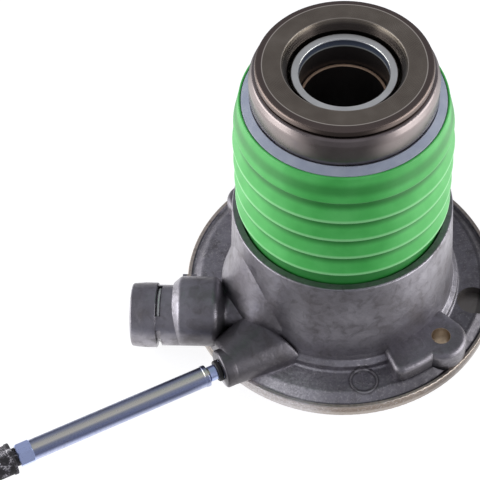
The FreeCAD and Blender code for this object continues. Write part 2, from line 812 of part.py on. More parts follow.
def make_bleed_screw():
    """The long bleed screw: seat, threaded shank, neck, tube, hexagon and hose nipple."""
    thread_r = bleed_thread_r - bleed_thread_gap
    seat = -bleed_thread_depth - (bleed_thread_r - bleed_drill_r) + bleed_seat_gap
    shank_end = -bleed_thread_depth + bleed_thread_runout
    neck_low = bleed_neck_r - bleed_neck_groove
    ring_bed = bleed_ring_gap + bleed_ring_width + bleed_ring_gap
    hex_end = bleed_hex_from + bleed_hex_length
    collar_end = bleed_collar_from + bleed_collar_width
    barb_low = nipple_barb_from + nipple_barb_lead
    profile = [(0, seat), (bleed_drill_r + bleed_seat_flat, seat, bleed_seat_flat),
               (thread_r, shank_end, bleed_shank_round), (thread_r, -1.5 * bleed_lead, bleed_lead),
               (neck_low, -bleed_lead / 2), (neck_low, ring_bed),
               (bleed_neck_r, ring_bed, bleed_lead / 2),
               (bleed_neck_r, bleed_collar_from - 1.5 * bleed_lead, bleed_lead / 2),
               (neck_low, bleed_collar_from - bleed_lead), (neck_low, bleed_collar_from),
               (bleed_collar_r, bleed_collar_from, bleed_lead), (bleed_collar_r, collar_end, bleed_lead / 4),
               (bleed_tube_r, collar_end + bleed_lead / 2),
               (bleed_tube_r, bleed_hex_from), (nipple_neck_r, bleed_hex_from),
               (nipple_neck_r, nipple_barb_from),
               (nipple_barb_r, barb_low, 0.3), (nipple_barb_r, barb_low + nipple_barb_width, 0.3),
               (nipple_tip_r, nipple_end, 0.4), (0, nipple_end)]
    screw = spun_on_bleed(profile)
    corner_r = bleed_hex_flats / math.sqrt(3)
    hexagon = []
    for index in range(6):
        turn = math.radians(60 * index + bleed_hex_turn)
        spot = BLEED_SIDE * (corner_r * math.cos(turn)) + AXIS * (corner_r * math.sin(turn))
        hexagon.append(BLEED_FACE + BLEED_OUT * bleed_hex_from + spot)
    hexagon.append(hexagon[0])
    nut = Part.Face(Part.makePolygon(hexagon)).extrude(BLEED_OUT * bleed_hex_length)
    low_r = corner_r - bleed_hex_chamfer
    crown = spun_on_bleed([(0, bleed_hex_from), (low_r, bleed_hex_from),
                           (corner_r, bleed_hex_from + bleed_hex_chamfer),
                           (corner_r, hex_end - bleed_hex_chamfer), (low_r, hex_end), (0, hex_end)])
    screw = fused(screw, [nut.common(crown)])
    cross_at = seat + bleed_cross_at
    bore_length = nipple_end - cross_at + EXTRA
    bore = Part.makeCylinder(bleed_bore_r, bore_length, BLEED_FACE + BLEED_OUT * cross_at, BLEED_OUT)
    cross_start = BLEED_FACE + BLEED_OUT * (cross_at + bleed_cross_lead) - AXIS * bleed_thread_r
    cross = Part.makeCylinder(bleed_cross_r, 2 * bleed_thread_r, cross_start, AXIS)
    return screw.cut([bore, cross])


def make_bleed_ring():
    """The black sealing ring under the bleed screw's neck."""
    inner = bleed_neck_r - bleed_neck_groove + ring_lift
    start = bleed_ring_gap
    end = bleed_ring_gap + bleed_ring_width
    return spun_on_bleed([(inner, start, 0.3), (bleed_ring_r, start, 0.5), (bleed_ring_r, end, 0.5),
                          (inner, end, 0.3)])


def make_dust_cap():
    """The rubber cap: a domed tube with a thin neck and a lip round its mouth."""
    end = cap_from + cap_length
    lip_end = cap_from + cap_lip_width
    low_r = cap_r - cap_lip_groove
    hollow_end = end - cap_crown
    neck_from = cap_from - cap_gap + cap_neck_gap
    neck_r = cap_bore_r + cap_neck_wall
    return spun_on_bleed([(cap_bore_r, neck_from), (neck_r, neck_from), (neck_r, cap_from, 0.3),
                          (cap_r, cap_from, 0.4), (cap_r, lip_end, 0.3),
                          (low_r, lip_end + cap_lip_groove), (low_r, end, cap_end_round), (0, end),
                          (0, hollow_end), (cap_bore_r, hollow_end, 0.5)])


def make_piston_seal():
    """The lip seal under the piston, open towards the fluid."""
    outer = cylinder_bore_r - running_gap
    inner = tube_r + running_gap
    top = seal_bottom_z + seal_height
    heel = seal_bottom_z + seal_lip_depth
    half_lip = seal_lip_width / 2
    return spun([(inner, seal_bottom_z), (inner + half_lip, seal_bottom_z),
                 (inner + seal_lip_width, heel, 0.8), (outer - seal_lip_width, heel, 0.8),
                 (outer - half_lip, seal_bottom_z), (outer, seal_bottom_z), (outer, heel),
                 (outer - seal_relief, top), (inner + seal_relief, top), (inner, heel)])


def make_piston():
    """The ring-shaped piston, stepped for the stop ring and bored for the sleeve."""
    head_r = cylinder_bore_r - running_gap
    stem_r = head_r - piston_stem_step
    bore_r = tube_r + running_gap
    return spun([(bore_r, piston_bottom_z), (head_r, piston_bottom_z, 0.4), (head_r, piston_head_top_z, 0.3),
                 (stem_r, piston_head_top_z), (stem_r, piston_top_z), (sleeve_r, piston_top_z),
                 (sleeve_r, sleeve_bottom_z), (bore_r, sleeve_bottom_z)])


def make_stop_ring():
    """The open snap ring that stops the piston at the end of its travel."""
    stem_r = cylinder_bore_r - running_gap - piston_stem_step
    inner = stem_r + stop_ring_inner_gap
    outer = cylinder_bore_r + stop_ring_depth - stop_ring_fit
    bottom = piston_head_top_z + stop_ring_gap
    snap = spun([(inner, bottom), (outer, bottom), (outer, bottom + stop_ring_height),
                 (inner, bottom + stop_ring_height)], FULL_TURN - stop_ring_open_angle)
    snap.rotate(ORIGIN, AXIS, 90 + stop_ring_open_angle / 2)
    return snap


def make_sleeve():
    """The bright steel sleeve with the turned collar that keeps the bearing on the piston."""
    collar_z = sleeve_top_z - sleeve_collar_height
    return spun([(sleeve_bore_r, sleeve_bottom_z), (sleeve_r, sleeve_bottom_z), (sleeve_r, collar_z),
                 (sleeve_collar_r, collar_z, 0.2), (sleeve_collar_r, sleeve_top_z, sleeve_collar_round),
                 (sleeve_bore_r, sleeve_top_z, sleeve_collar_round)])


def make_support_ring():
    """The moulded ring that seats the bearing, holds the gaiter's lip and caps the spring."""
    hub_bore = sleeve_r + ring_lift
    under = support_seat_z - support_seat_thickness
    rim_inner = support_rim_r - support_rim_wall
    groove_low = support_groove_z - support_groove_height / 2
    groove_high = support_groove_z + support_groove_height / 2
    groove_r = support_rim_r - support_groove_depth
    return spun([(hub_bore, piston_top_z), (support_hub_r, piston_top_z, 0.5), (support_hub_r, under, 1.0),
                 (rim_inner, under, 1.0), (rim_inner, support_rim_bottom_z, 0.4),
                 (support_rim_r, support_rim_bottom_z, 0.4), (support_rim_r, groove_low),
                 (groove_r, groove_low), (groove_r, groove_high), (support_rim_r, groove_high),
                 (support_rim_r, support_rim_z, support_edge_round),
                 (support_cone_top_r, support_cone_top_z, 0.2),
                 (support_cone_top_r - support_cone_draft, support_seat_z), (hub_bore, support_seat_z)])


def track_cut():
    """The torus that both ball tracks are ground to."""
    return o_ring(ball_circle_r, ball_r + track_gap, ball_centre_z)


def make_fixed_race():
    """The lower race, which floats sideways on the support ring."""
    top = ball_centre_z - race_gap / 2
    outer = shell_r - shell_wall - shell_gap
    blank = spun([(fixed_race_inner_r, fixed_race_bottom_z, 0.4), (outer, fixed_race_bottom_z, 0.6),
                  (outer, top, 0.4), (fixed_race_inner_r, top, 0.4)])
    return blank.cut(track_cut())


def make_turning_race():
    """The upper race, whose flat face presses on the clutch's diaphragm spring."""
    bottom = ball_centre_z + race_gap / 2
    brim_under = shell_top_z + turning_brim_gap
    blank = spun([(turning_bore_r, bottom, 0.4), (turning_body_r, bottom, 0.4),
                  (turning_body_r, brim_under, 0.3),
                  (turning_brim_r - turning_brim_edge, brim_under, 0.1),
                  (turning_brim_r, brim_under + turning_brim_edge, 0.2),
                  (turning_brim_r, turning_face_z, turning_shoulder_round),
                  (turning_face_inner_r, turning_face_z, 0.3), (turning_bore_r, turning_bevel_z, 0.5)])
    return blank.cut(track_cut())


def make_balls():
    """The ring of bearing balls."""
    balls = []
    for index in range(ball_count):
        centre = polar(ball_circle_r, index * FULL_TURN / ball_count, ball_centre_z)
        balls.append(Part.makeSphere(ball_r, centre))
    return Part.makeCompound(balls)


def make_cage():
    """The flat ring that spaces the balls."""
    bottom = ball_centre_z - cage_height / 2
    cage = ring(cage_inner_r, cage_outer_r, bottom, bottom + cage_height)
    pockets = []
    for index in range(ball_count):
        centre = polar(ball_circle_r, index * FULL_TURN / ball_count, bottom - EXTRA)
        pockets.append(Part.makeCylinder(ball_r + cage_pocket_gap, cage_height + 2 * EXTRA, centre))
    return cage.cut(pockets)


def shell_corners():
    """The shell's outer corners from its bottom to its lip."""
    return [(shell_bottom_r, shell_bottom_z, 0.5), (shell_r, shell_bottom_z + shell_flare_height, 2.0),
            (shell_r, shell_shoulder_z, shell_shoulder_round), (shell_top_r, shell_top_z, shell_top_round),
            (shell_lip_r, shell_top_z, 0.2)]


def make_shell():
    """The drawn steel shell clenched under the lower race and over the seal."""
    inner_r = shell_r - shell_wall
    under = shell_top_z - shell_wall
    floor = fixed_race_bottom_z
    turned_in_r = shell_bottom_r - shell_turn_in
    return spun([(turned_in_r, shell_bottom_z)] + shell_corners() +
                [(shell_lip_r, under), (shell_top_r - shell_wall / 2, under, 0.3),
                 (inner_r, shell_shoulder_z, shell_shoulder_round - shell_wall), (inner_r, floor, 0.3),
                 (turned_in_r, floor)])


def make_bearing_seal():
    """The sealing washer between the shell and the turning race."""
    inner = turning_body_r + bearing_seal_gap
    outer = shell_r - shell_wall - shell_gap
    top = bearing_seal_z + bearing_seal_height
    return spun([(inner, bearing_seal_z, 0.2), (outer, bearing_seal_z - bearing_seal_slope, 0.2),
                 (outer, top - bearing_seal_bevel_height), (outer - bearing_seal_bevel_width, top, 0.2),
                 (inner, top, 0.2)])


def make_washer():
    """The dished spring washer between the sleeve's collar and the lower race."""
    top = sleeve_top_z - sleeve_collar_height - washer_seat_gap
    low = ball_centre_z - race_gap / 2 + washer_seat_gap
    inner = sleeve_r + washer_seat_gap
    return spun([(inner, top - washer_thickness), (inner, top), (inner + washer_flat, top),
                 (washer_outer_r, low + washer_thickness), (washer_outer_r, low),
                 (washer_outer_r - washer_flat, low)])


def make_spring():
    """The preload spring round the cylinder, ground flat at both ends."""
    bottom = spring_floor_z + spring_seat_gap
    top = support_seat_z - support_seat_thickness - spring_seat_gap
    length = top - bottom
    helix = Part.makeHelix(length / spring_turns, length, spring_r)
    helix.translate(Vector(0, 0, bottom))
    section = []
    for index in range(spring_section_sides + 1):
        turn = math.radians((index + 0.5) * FULL_TURN / spring_section_sides)
        out = spring_wire_r * math.cos(turn)
        section.append(Vector(spring_r + out, 0, bottom + spring_wire_r * math.sin(turn)))
    coil = Part.Wire(helix.Edges).makePipeShell([Part.makePolygon(section)], True, True)
    return coil.common(ring(spring_r - 2 * spring_wire_r, spring_r + 2 * spring_wire_r, bottom, top))


def make_gaiter():
    """The ribbed rubber gaiter from the ledge in the cup to the support ring."""
    top = support_rim_z
    lip_inner = support_rim_r + gaiter_bead_gap
    bead_top = support_groove_z + support_groove_height / 2 - gaiter_bead_gap
    bead_low = support_groove_z - support_groove_height / 2 + gaiter_bead_gap
    bead_r = support_rim_r - support_groove_depth + gaiter_bead_gap
    crests = [gaiter_top_crest_z - index * gaiter_crest_pitch for index in range(gaiter_fold_count)]
    outer = [(gaiter_lip_r - gaiter_lip_edge, top, 0.4), (gaiter_lip_r, top - gaiter_lip_height),
             (gaiter_shoulder_r, gaiter_shoulder_z)]
    inner = [(lip_inner, top, 0.3), (lip_inner, bead_top), (bead_r, bead_top), (bead_r, bead_low),
             (lip_inner, bead_low), (lip_inner, support_rim_bottom_z)]
    slant = gaiter_undercut * gaiter_slope_share
    for crest in crests:
        crest_r = gaiter_top_crest_r if crest == crests[0] else gaiter_crest_r
        outer.append((crest_r, crest + gaiter_crest_flat / 2))
        outer.append((crest_r, crest - gaiter_crest_flat / 2))
        outer.append((gaiter_valley_r, crest - gaiter_undercut))
        inner.append((crest_r - gaiter_wall, crest + slant))
        inner.append((gaiter_valley_r - gaiter_wall, crest - gaiter_undercut + slant * 0.4))
    foot = bead_ledge_z + gaiter_bead_gap
    bead_top_z = foot + gaiter_bead_height
    outer += [(gaiter_collar_r, bead_top_z + gaiter_bead_slope), (cup_bore_r - gaiter_bead_gap, bead_top_z),
              (cup_bore_r - gaiter_bead_gap, foot)]
    inner += [(gaiter_collar_r - gaiter_wall, bead_top_z + 1.0), (gaiter_collar_r - gaiter_wall, foot)]
    return spun(outer + inner[::-1])


def main():
    """Makes every piece and writes each to its own file."""
    os.makedirs("parts", exist_ok=True)
    pieces = {
        "housing": make_housing(),
        "guide_tube": make_guide_tube(),
        "guide_tube_o_ring": make_guide_tube_ring(),
        "flange_o_ring": make_flange_ring(),
        "inlet_seal": make_port_seal(),
        "inlet_clip": make_clip(),
        "bleed_screw": make_bleed_screw(),
        "bleed_seal_ring": make_bleed_ring(),
        "dust_cap": make_dust_cap(),
        "piston_seal": make_piston_seal(),
        "piston": make_piston(),
        "stop_ring": make_stop_ring(),
        "bearing_sleeve": make_sleeve(),
        "support_ring": make_support_ring(),
        "fixed_race": make_fixed_race(),
        "turning_race": make_turning_race(),
        "bearing_balls": make_balls(),
        "ball_cage": make_cage(),
        "bearing_shell": make_shell(),
        "bearing_seal": make_bearing_seal(),
        "spring_washer": make_washer(),
        "preload_spring": make_spring(),
        "gaiter": make_gaiter(),
    }
    for name, shape in pieces.items():
        shape.exportStep("parts/" + name + ".step")
        box = shape.BoundBox
        print(f"{name:18s} solids {len(shape.Solids):2d} volume {shape.Volume:9.1f} valid {shape.isValid()}"
              f" z {box.ZMin:7.2f} to {box.ZMax:7.2f}")


main()
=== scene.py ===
# %% [markdown]
# # A concentric clutch slave cylinder
# This lesson dresses a hydraulic release bearing: the ring-shaped slave cylinder that sits round
# a gearbox input shaft and pushes on the clutch. The solids come ready from the CAD model.
# Blender gives them their surfaces, remakes the two pieces that bend, which are the gaiter and
# the spring, and adds one soft corner to the casting. Everything is in metres, with +Z along
# the cylinder's axis.

# %% Load the CAD frame
import bpy
import bmesh
import math
from mathutils import Matrix, Vector


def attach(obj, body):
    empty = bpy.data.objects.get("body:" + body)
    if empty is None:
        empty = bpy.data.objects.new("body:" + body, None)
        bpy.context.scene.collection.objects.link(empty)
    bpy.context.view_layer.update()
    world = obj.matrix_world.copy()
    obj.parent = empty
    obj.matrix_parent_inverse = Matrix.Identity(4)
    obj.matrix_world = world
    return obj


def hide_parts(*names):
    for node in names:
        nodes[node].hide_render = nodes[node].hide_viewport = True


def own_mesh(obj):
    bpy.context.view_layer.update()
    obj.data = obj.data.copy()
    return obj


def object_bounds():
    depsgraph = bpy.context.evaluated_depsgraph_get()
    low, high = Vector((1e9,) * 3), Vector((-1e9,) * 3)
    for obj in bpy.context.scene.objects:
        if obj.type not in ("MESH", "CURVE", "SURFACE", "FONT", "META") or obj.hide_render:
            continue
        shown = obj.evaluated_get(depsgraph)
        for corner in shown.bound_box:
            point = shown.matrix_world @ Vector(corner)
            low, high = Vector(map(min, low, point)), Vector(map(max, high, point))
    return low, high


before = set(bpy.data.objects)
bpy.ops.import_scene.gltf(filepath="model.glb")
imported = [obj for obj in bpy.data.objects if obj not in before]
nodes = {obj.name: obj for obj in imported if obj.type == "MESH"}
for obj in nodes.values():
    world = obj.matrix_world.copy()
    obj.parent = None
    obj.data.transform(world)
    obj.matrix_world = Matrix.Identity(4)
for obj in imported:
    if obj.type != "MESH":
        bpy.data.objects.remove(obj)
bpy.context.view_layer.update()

# %% [markdown]
# ## Small helpers
# Colours are easier to read as the hex values of an image editor, but shaders work in linear
# light, so one function turns the first into the second. A second function adds a node, sets
# it and links it in one call, which keeps each material short enough to read. A third finds how
# far a place is from the cylinder's axis, because most finishes here were cut on a lathe and
# change with that distance.

# %% Millimetres, colours and nodes
MM = 0.001
FULL_TURN = 2 * math.pi
# A wave texture at scale 1 repeats about every 0.314 units, so 0.314 / spacing sets its lines
WAVE_UNIT = 0.314


def linear(hex_text):
    """A linear RGBA colour from sRGB hex digits."""
    channels = [int(hex_text[start:start + 2], 16) / 255 for start in (0, 2, 4)]
    return [c / 12.92 if c <= 0.04045 else ((c + 0.055) / 1.055) ** 2.4 for c in channels] + [1.0]


def add_node(tree, kind, inputs=None, stops=None, **settings):
    """Adds a node with its settings, fills or links its inputs, and sets a ramp's colour stops."""
    node = tree.nodes.new(kind)
    for name, value in settings.items():
        setattr(node, name, value)
    for name, value in (inputs or {}).items():
        if isinstance(value, bpy.types.NodeSocket):
            tree.links.new(value, node.inputs[name])
        else:
            node.inputs[name].default_value = value
    if stops:
        elements = node.color_ramp.elements
        while len(elements) < len(stops):
            elements.new(0.5)
        for element, position in zip(elements, sorted(stops)):
            element.position = position
            element.color = linear(stops[position])
    return node


def new_material(name):
    """An empty named material: its tree, its Principled shader and the Object coordinates."""
    material = bpy.data.materials.new(name)
    material.use_nodes = True
    tree = material.node_tree
    shader = tree.nodes["Principled BSDF"]
    place = add_node(tree, "ShaderNodeTexCoord").outputs["Object"]
    return material, tree, shader, place


def round_axis(tree, place):
    """A place's x, y and z, its shadow on the plane z = 0, and its distance from the axis."""
    apart = add_node(tree, "ShaderNodeSeparateXYZ", {"Vector": place}).outputs
    flat = add_node(tree, "ShaderNodeCombineXYZ", {"X": apart["X"], "Y": apart["Y"]}).outputs[0]
    radius = add_node(tree, "ShaderNodeVectorMath", {0: flat}, operation="LENGTH")
    return apart, flat, radius.outputs["Value"]


def dress(node_name, material):
    """Gives a CAD node one material all over."""
    mesh = nodes[node_name].data
    mesh.materials.clear()
    mesh.materials.append(material)
    print(f"{node_name}: {material.name}")


print("white is", linear("FFFFFF"))

# %% [markdown]
# ## Die-cast aluminium
# The flange, cup, lugs, port and bleed boss are one pressure die casting. Molten alloy freezes
# against a steel die, so the skin is grey, slightly wavy and finely grained, with darker flow
# marks where the metal ran cold and pale specks where it was tumbled. One material holds all of
# this, and masks by radius and height keep each finish in its place.

# %% The casting's skin
cast, tree, shader, place = new_material("die_cast_aluminium")
apart, flat, radius = round_axis(tree, place)
MOTTLE = 14 * MM
FLOW = 4 * MM
GRAIN = 0.7 * MM
mottle = add_node(tree, "ShaderNodeTexNoise",
                  {"Vector": place, "Scale": 1 / MOTTLE, "Detail": 4.0, "Roughness": 0.6})
flow = add_node(tree, "ShaderNodeTexNoise",
                {"Vector": place, "Scale": 1 / FLOW, "Detail": 5.0, "Distortion": 0.8})
grain = add_node(tree, "ShaderNodeTexNoise", {"Vector": place, "Scale": 1 / GRAIN, "Detail": 2.0})
skin = add_node(tree, "ShaderNodeValToRGB",
                {"Fac": mottle.outputs["Fac"]}, {0.30: "7F7B80", 0.52: "918E95", 0.72: "A29FA6"})
marks = add_node(tree, "ShaderNodeMapRange",
                 {"Value": flow.outputs["Fac"], "From Min": 0.48, "From Max": 0.75, "To Min": 0.0,
                  "To Max": 0.5})
stained = add_node(tree, "ShaderNodeMix",
                   {0: marks.outputs["Result"], 6: skin.outputs["Color"], 7: linear("55514F")},
                   data_type="RGBA")
print("mottle, flow marks and grain:", MOTTLE, FLOW, GRAIN)

# %% [markdown]
# ### The turned rim
# The flange's rim is cut on a lathe after casting. It is bright and warm, and the tool leaves a
# fine line at each turn. Its tone also changes with height as painted light: painted shade over its
# upper half and a painted highlight along its top edge. The mask is high only where three
# conditions hold at once, so three masks are multiplied.

# %% The turned rim
RIM_FROM = 58.9 * MM
RIM_TO = 60.6 * MM
RIM_TOP = 6.2 * MM
RIM_EDGE = 0.2 * MM
TOOL_LINE = 0.5 * MM
TOOL_LINE_DEPTH = 0.12
outside = add_node(tree, "ShaderNodeMapRange",
                   {"Value": radius, "From Min": RIM_FROM, "From Max": RIM_FROM + RIM_EDGE})
below = add_node(tree, "ShaderNodeMapRange",
                 {"Value": apart["Z"], "From Min": RIM_TOP, "From Max": RIM_TOP + RIM_EDGE,
                  "To Min": 1.0, "To Max": 0.0})
inside = add_node(tree, "ShaderNodeMapRange",
                  {"Value": radius, "From Min": RIM_TO, "From Max": RIM_TO + RIM_EDGE,
                   "To Min": 1.0, "To Max": 0.0})
turned = outside
for mask in (below, inside):
    turned = add_node(tree, "ShaderNodeMath",
                      {0: turned.outputs[0], 1: mask.outputs[0]}, operation="MULTIPLY")
lines = add_node(tree, "ShaderNodeTexWave",
                 {"Vector": place, "Scale": WAVE_UNIT / TOOL_LINE, "Distortion": 2.0},
                 wave_type="BANDS", bands_direction="Z")
height = add_node(tree, "ShaderNodeMath", {0: apart["Z"], 1: 1 / RIM_TOP}, operation="MULTIPLY")
lined = add_node(tree, "ShaderNodeMath",
                 {0: lines.outputs["Fac"], 1: TOOL_LINE_DEPTH, 2: height.outputs["Value"]},
                 operation="MULTIPLY_ADD")
# The tone by height is painted light: painted shade over the upper half and a painted highlight on
# the top edge. The wave adds the tool lines.
rim_lines_and_painted_light = add_node(tree, "ShaderNodeValToRGB",
                    {"Fac": lined.outputs["Value"]},
                    {0.10: "B3A9A2", 0.42: "BCB2AA", 0.50: "8A7C72", 0.92: "8F8177", 1.0: "C9BDB2"})
rimmed_with_painted_light = add_node(tree, "ShaderNodeMix",
                  {0: turned.outputs["Value"], 6: stained.outputs[2], 7: rim_lines_and_painted_light.outputs["Color"]},
                  data_type="RGBA")
print("rim from radius", RIM_FROM, "to", RIM_TO)

# %% [markdown]
# ### Specks and holes
# Tumbling with steel shot leaves pale specks, mostly low down on the flange. The two bolt holes
# are bored and warm in tone, and the round recess beside the lug is left as cast.

# %% Pale specks, the bored bolt holes and the recess
SPECK = 0.9 * MM
SPECKS_TO = 8 * MM
SPECKS_GONE = 16 * MM
BOLT_AT = (37.96 * MM, -33.0 * MM, 0.0)
BACK_BOLT_AT = (-37.96 * MM, 33.0 * MM, 0.0)
BOLT_WALL = 3.58 * MM
RECESS_AT = (51.1 * MM, -11.14 * MM, 0.0)
RECESS_WALL = 6.15 * MM
WALL_EDGE = 0.1 * MM
speckle = add_node(tree, "ShaderNodeTexNoise",
                   {"Vector": place, "Scale": 1 / SPECK, "Detail": 3.0, "Roughness": 0.8})
fleck = add_node(tree, "ShaderNodeMapRange",
                 {"Value": speckle.outputs["Fac"], "From Min": 0.52, "From Max": 0.72,
                  "To Max": 0.8})
low = add_node(tree, "ShaderNodeMapRange",
               {"Value": apart["Z"], "From Min": SPECKS_TO, "From Max": SPECKS_GONE, "To Min": 1.0,
                "To Max": 0.15})
flecked = add_node(tree, "ShaderNodeMath",
                   {0: fleck.outputs["Result"], 1: low.outputs["Result"]}, operation="MULTIPLY")
tumbled = add_node(tree, "ShaderNodeMix",
                   {0: flecked.outputs["Value"], 6: rimmed_with_painted_light.outputs[2], 7: linear("C4C1C2")},
                   data_type="RGBA")
finish = tumbled.outputs[2]
for spot, wall, tone in ((BOLT_AT, BOLT_WALL, "B8A48C"), (BACK_BOLT_AT, BOLT_WALL, "B8A48C"),
                         (RECESS_AT, RECESS_WALL, "9C9792")):
    away = add_node(tree, "ShaderNodeVectorMath", {0: flat, 1: spot}, operation="DISTANCE")
    bored = add_node(tree, "ShaderNodeMapRange",
                     {"Value": away.outputs["Value"], "From Min": wall,
                      "From Max": wall + WALL_EDGE, "To Min": 1.0, "To Max": 0.0})
    layer = add_node(tree, "ShaderNodeMix",
                     {0: bored.outputs["Result"], 6: finish, 7: linear(tone)}, data_type="RGBA")
    finish = layer.outputs[2]
print("bolt holes at", BOLT_AT, BACK_BOLT_AT)

# %% [markdown]
# ### Painted shade and light on the casting
# Painted shade darkens the pocket beside the inlet port and the mass of metal behind the bleed
# boss. Painted shade also darkens the flange's sloping edge at the right, and a painted patch of
# light lies on its left front. Each is a mask of its own, made from distances and heights.

# %% Painted shade in the pocket and on the mass
# Place, the distance up to which it is full, where it is gone, and its share
POCKET_SHADE = ((-45 * MM, -26 * MM, 12 * MM), 8 * MM, 21 * MM, 0.5)
MASS_SHADE = ((-40 * MM, -44 * MM, 0.0), 22 * MM, 31 * MM, 0.62)
MASS_LOW = 7.8 * MM
MASS_HIGH = 10 * MM
# Painted shade: it darkens the pocket beside the inlet port and the mass behind the bleed boss.
painted_shade_places = []
for spot, near, gone, share in (POCKET_SHADE, MASS_SHADE):
    away = add_node(tree, "ShaderNodeVectorMath", {0: place, 1: spot}, operation="DISTANCE")
    painted_shade_places.append(add_node(tree, "ShaderNodeMapRange",
                                {"Value": away.outputs["Value"], "From Min": near,
                                 "From Max": gone, "To Min": share, "To Max": 0.0},
                                interpolation_type="SMOOTHSTEP"))
pocket_shade, mass_shade = painted_shade_places
above = add_node(tree, "ShaderNodeMapRange",
                 {"Value": apart["Z"], "From Min": MASS_LOW, "From Max": MASS_HIGH},
                 interpolation_type="SMOOTHSTEP")
mass_top_shade = add_node(tree, "ShaderNodeMath",
                    {0: mass_shade.outputs["Result"], 1: above.outputs["Result"]}, operation="MULTIPLY")
corner_shade = add_node(tree, "ShaderNodeMath",
                {0: pocket_shade.outputs["Result"], 1: mass_top_shade.outputs["Value"]}, operation="MAXIMUM")
print("cold places:", len(painted_shade_places))

# %% Painted shade on the right side
SLOPE_FROM = (52.6 * MM, 54.2 * MM)
SLOPE_TO = (58.7 * MM, 58.9 * MM)
FLANGE_TOP = (7.9 * MM, 8.6 * MM)
SHADE_RIGHT_X = (5 * MM, 35 * MM)
FAR_SHADE_RIGHT_X = (22 * MM, 46 * MM)
slope_in = add_node(tree, "ShaderNodeMapRange",
                    {"Value": radius, "From Min": SLOPE_FROM[0], "From Max": SLOPE_FROM[1]})
slope_out = add_node(tree, "ShaderNodeMapRange",
                     {"Value": radius, "From Min": SLOPE_TO[0], "From Max": SLOPE_TO[1],
                      "To Min": 1.0, "To Max": 0.0})
flat_top = add_node(tree, "ShaderNodeMapRange",
                    {"Value": apart["Z"], "From Min": FLANGE_TOP[0], "From Max": FLANGE_TOP[1],
                     "To Min": 1.0, "To Max": 0.0})
# Painted shade: these masks darken the flange's sloping edge and its low surfaces at the right.
right = add_node(tree, "ShaderNodeMapRange",
                 {"Value": apart["X"], "From Min": SHADE_RIGHT_X[0], "From Max": SHADE_RIGHT_X[1],
                  "To Max": 0.7}, interpolation_type="SMOOTHSTEP")
far_right = add_node(tree, "ShaderNodeMapRange",
                     {"Value": apart["X"], "From Min": FAR_SHADE_RIGHT_X[0], "From Max": FAR_SHADE_RIGHT_X[1],
                      "To Max": 0.45}, interpolation_type="SMOOTHSTEP")
slope_shade = slope_in
for mask in (slope_out, flat_top, right):
    slope_shade = add_node(tree, "ShaderNodeMath",
                     {0: slope_shade.outputs[0], 1: mask.outputs[0]}, operation="MULTIPLY")
far_right_shade = add_node(tree, "ShaderNodeMath",
                   {0: far_right.outputs["Result"], 1: low.outputs["Result"]}, operation="MULTIPLY")
right_side_shade = add_node(tree, "ShaderNodeMath",
                 {0: slope_shade.outputs["Value"], 1: far_right_shade.outputs["Value"]}, operation="MAXIMUM")
print("smoky from x", SHADE_RIGHT_X[0])

# %% A painted patch of light on the left front
LIT_PATCH_X = (2 * MM, -16 * MM)
LIT_PATCH_Y = (-36 * MM, -46 * MM)
# A painted patch of light on the flange's left front, broken up by the specks' noise.
left = add_node(tree, "ShaderNodeMapRange",
                {"Value": apart["X"], "From Min": LIT_PATCH_X[0], "From Max": LIT_PATCH_X[1],
                 "To Max": 0.85}, interpolation_type="SMOOTHSTEP")
front = add_node(tree, "ShaderNodeMapRange",
                 {"Value": apart["Y"], "From Min": LIT_PATCH_Y[0], "From Max": LIT_PATCH_Y[1]})
grit = add_node(tree, "ShaderNodeMapRange",
                {"Value": speckle.outputs["Fac"], "From Min": 0.35, "From Max": 0.65,
                 "To Min": 0.35, "To Max": 1.0})
painted_light_patch = left
for mask in (front, flat_top, grit):
    painted_light_patch = add_node(tree, "ShaderNodeMath",
                       {0: painted_light_patch.outputs[0], 1: mask.outputs[0]}, operation="MULTIPLY")
print("rubbed up to x", LIT_PATCH_X[0])

# %% [markdown]
# ### The raised ring and the last coats
# A raised ring marks the flange. A painted highlight lies on its crest and painted shade at its
# foot, so both follow the distance from the ring's own circle. Then all the painted shade and light
# is laid over the skin in turn, and the grain and the flow marks also drive the bump and the
# roughness.

# %% The raised ring, the coats and the relief
RING_AT = (9.18 * MM, -49.53 * MM, 8.0 * MM)
RING_R = 5.0 * MM
RING_SHADE_GAP = (0.5 * MM, 1.1 * MM)
RING_HIGHLIGHT_GAP = (0.1 * MM, 0.4 * MM)
# A painted highlight on the raised ring's crest and painted shade at its foot.
away = add_node(tree, "ShaderNodeVectorMath", {0: place, 1: RING_AT}, operation="DISTANCE")
from_ring = add_node(tree, "ShaderNodeMath",
                     {0: away.outputs["Value"], 1: RING_R}, operation="SUBTRACT")
gap = add_node(tree, "ShaderNodeMath", {0: from_ring.outputs["Value"]}, operation="ABSOLUTE")
ring_foot_shade = add_node(tree, "ShaderNodeMapRange",
                {"Value": gap.outputs["Value"], "From Min": RING_SHADE_GAP[0], "From Max": RING_SHADE_GAP[1],
                 "To Min": 0.55, "To Max": 0.0})
ring_crest_highlight = add_node(tree, "ShaderNodeMapRange",
                 {"Value": gap.outputs["Value"], "From Min": RING_HIGHLIGHT_GAP[0],
                  "From Max": RING_HIGHLIGHT_GAP[1], "To Min": 0.8, "To Max": 0.0})
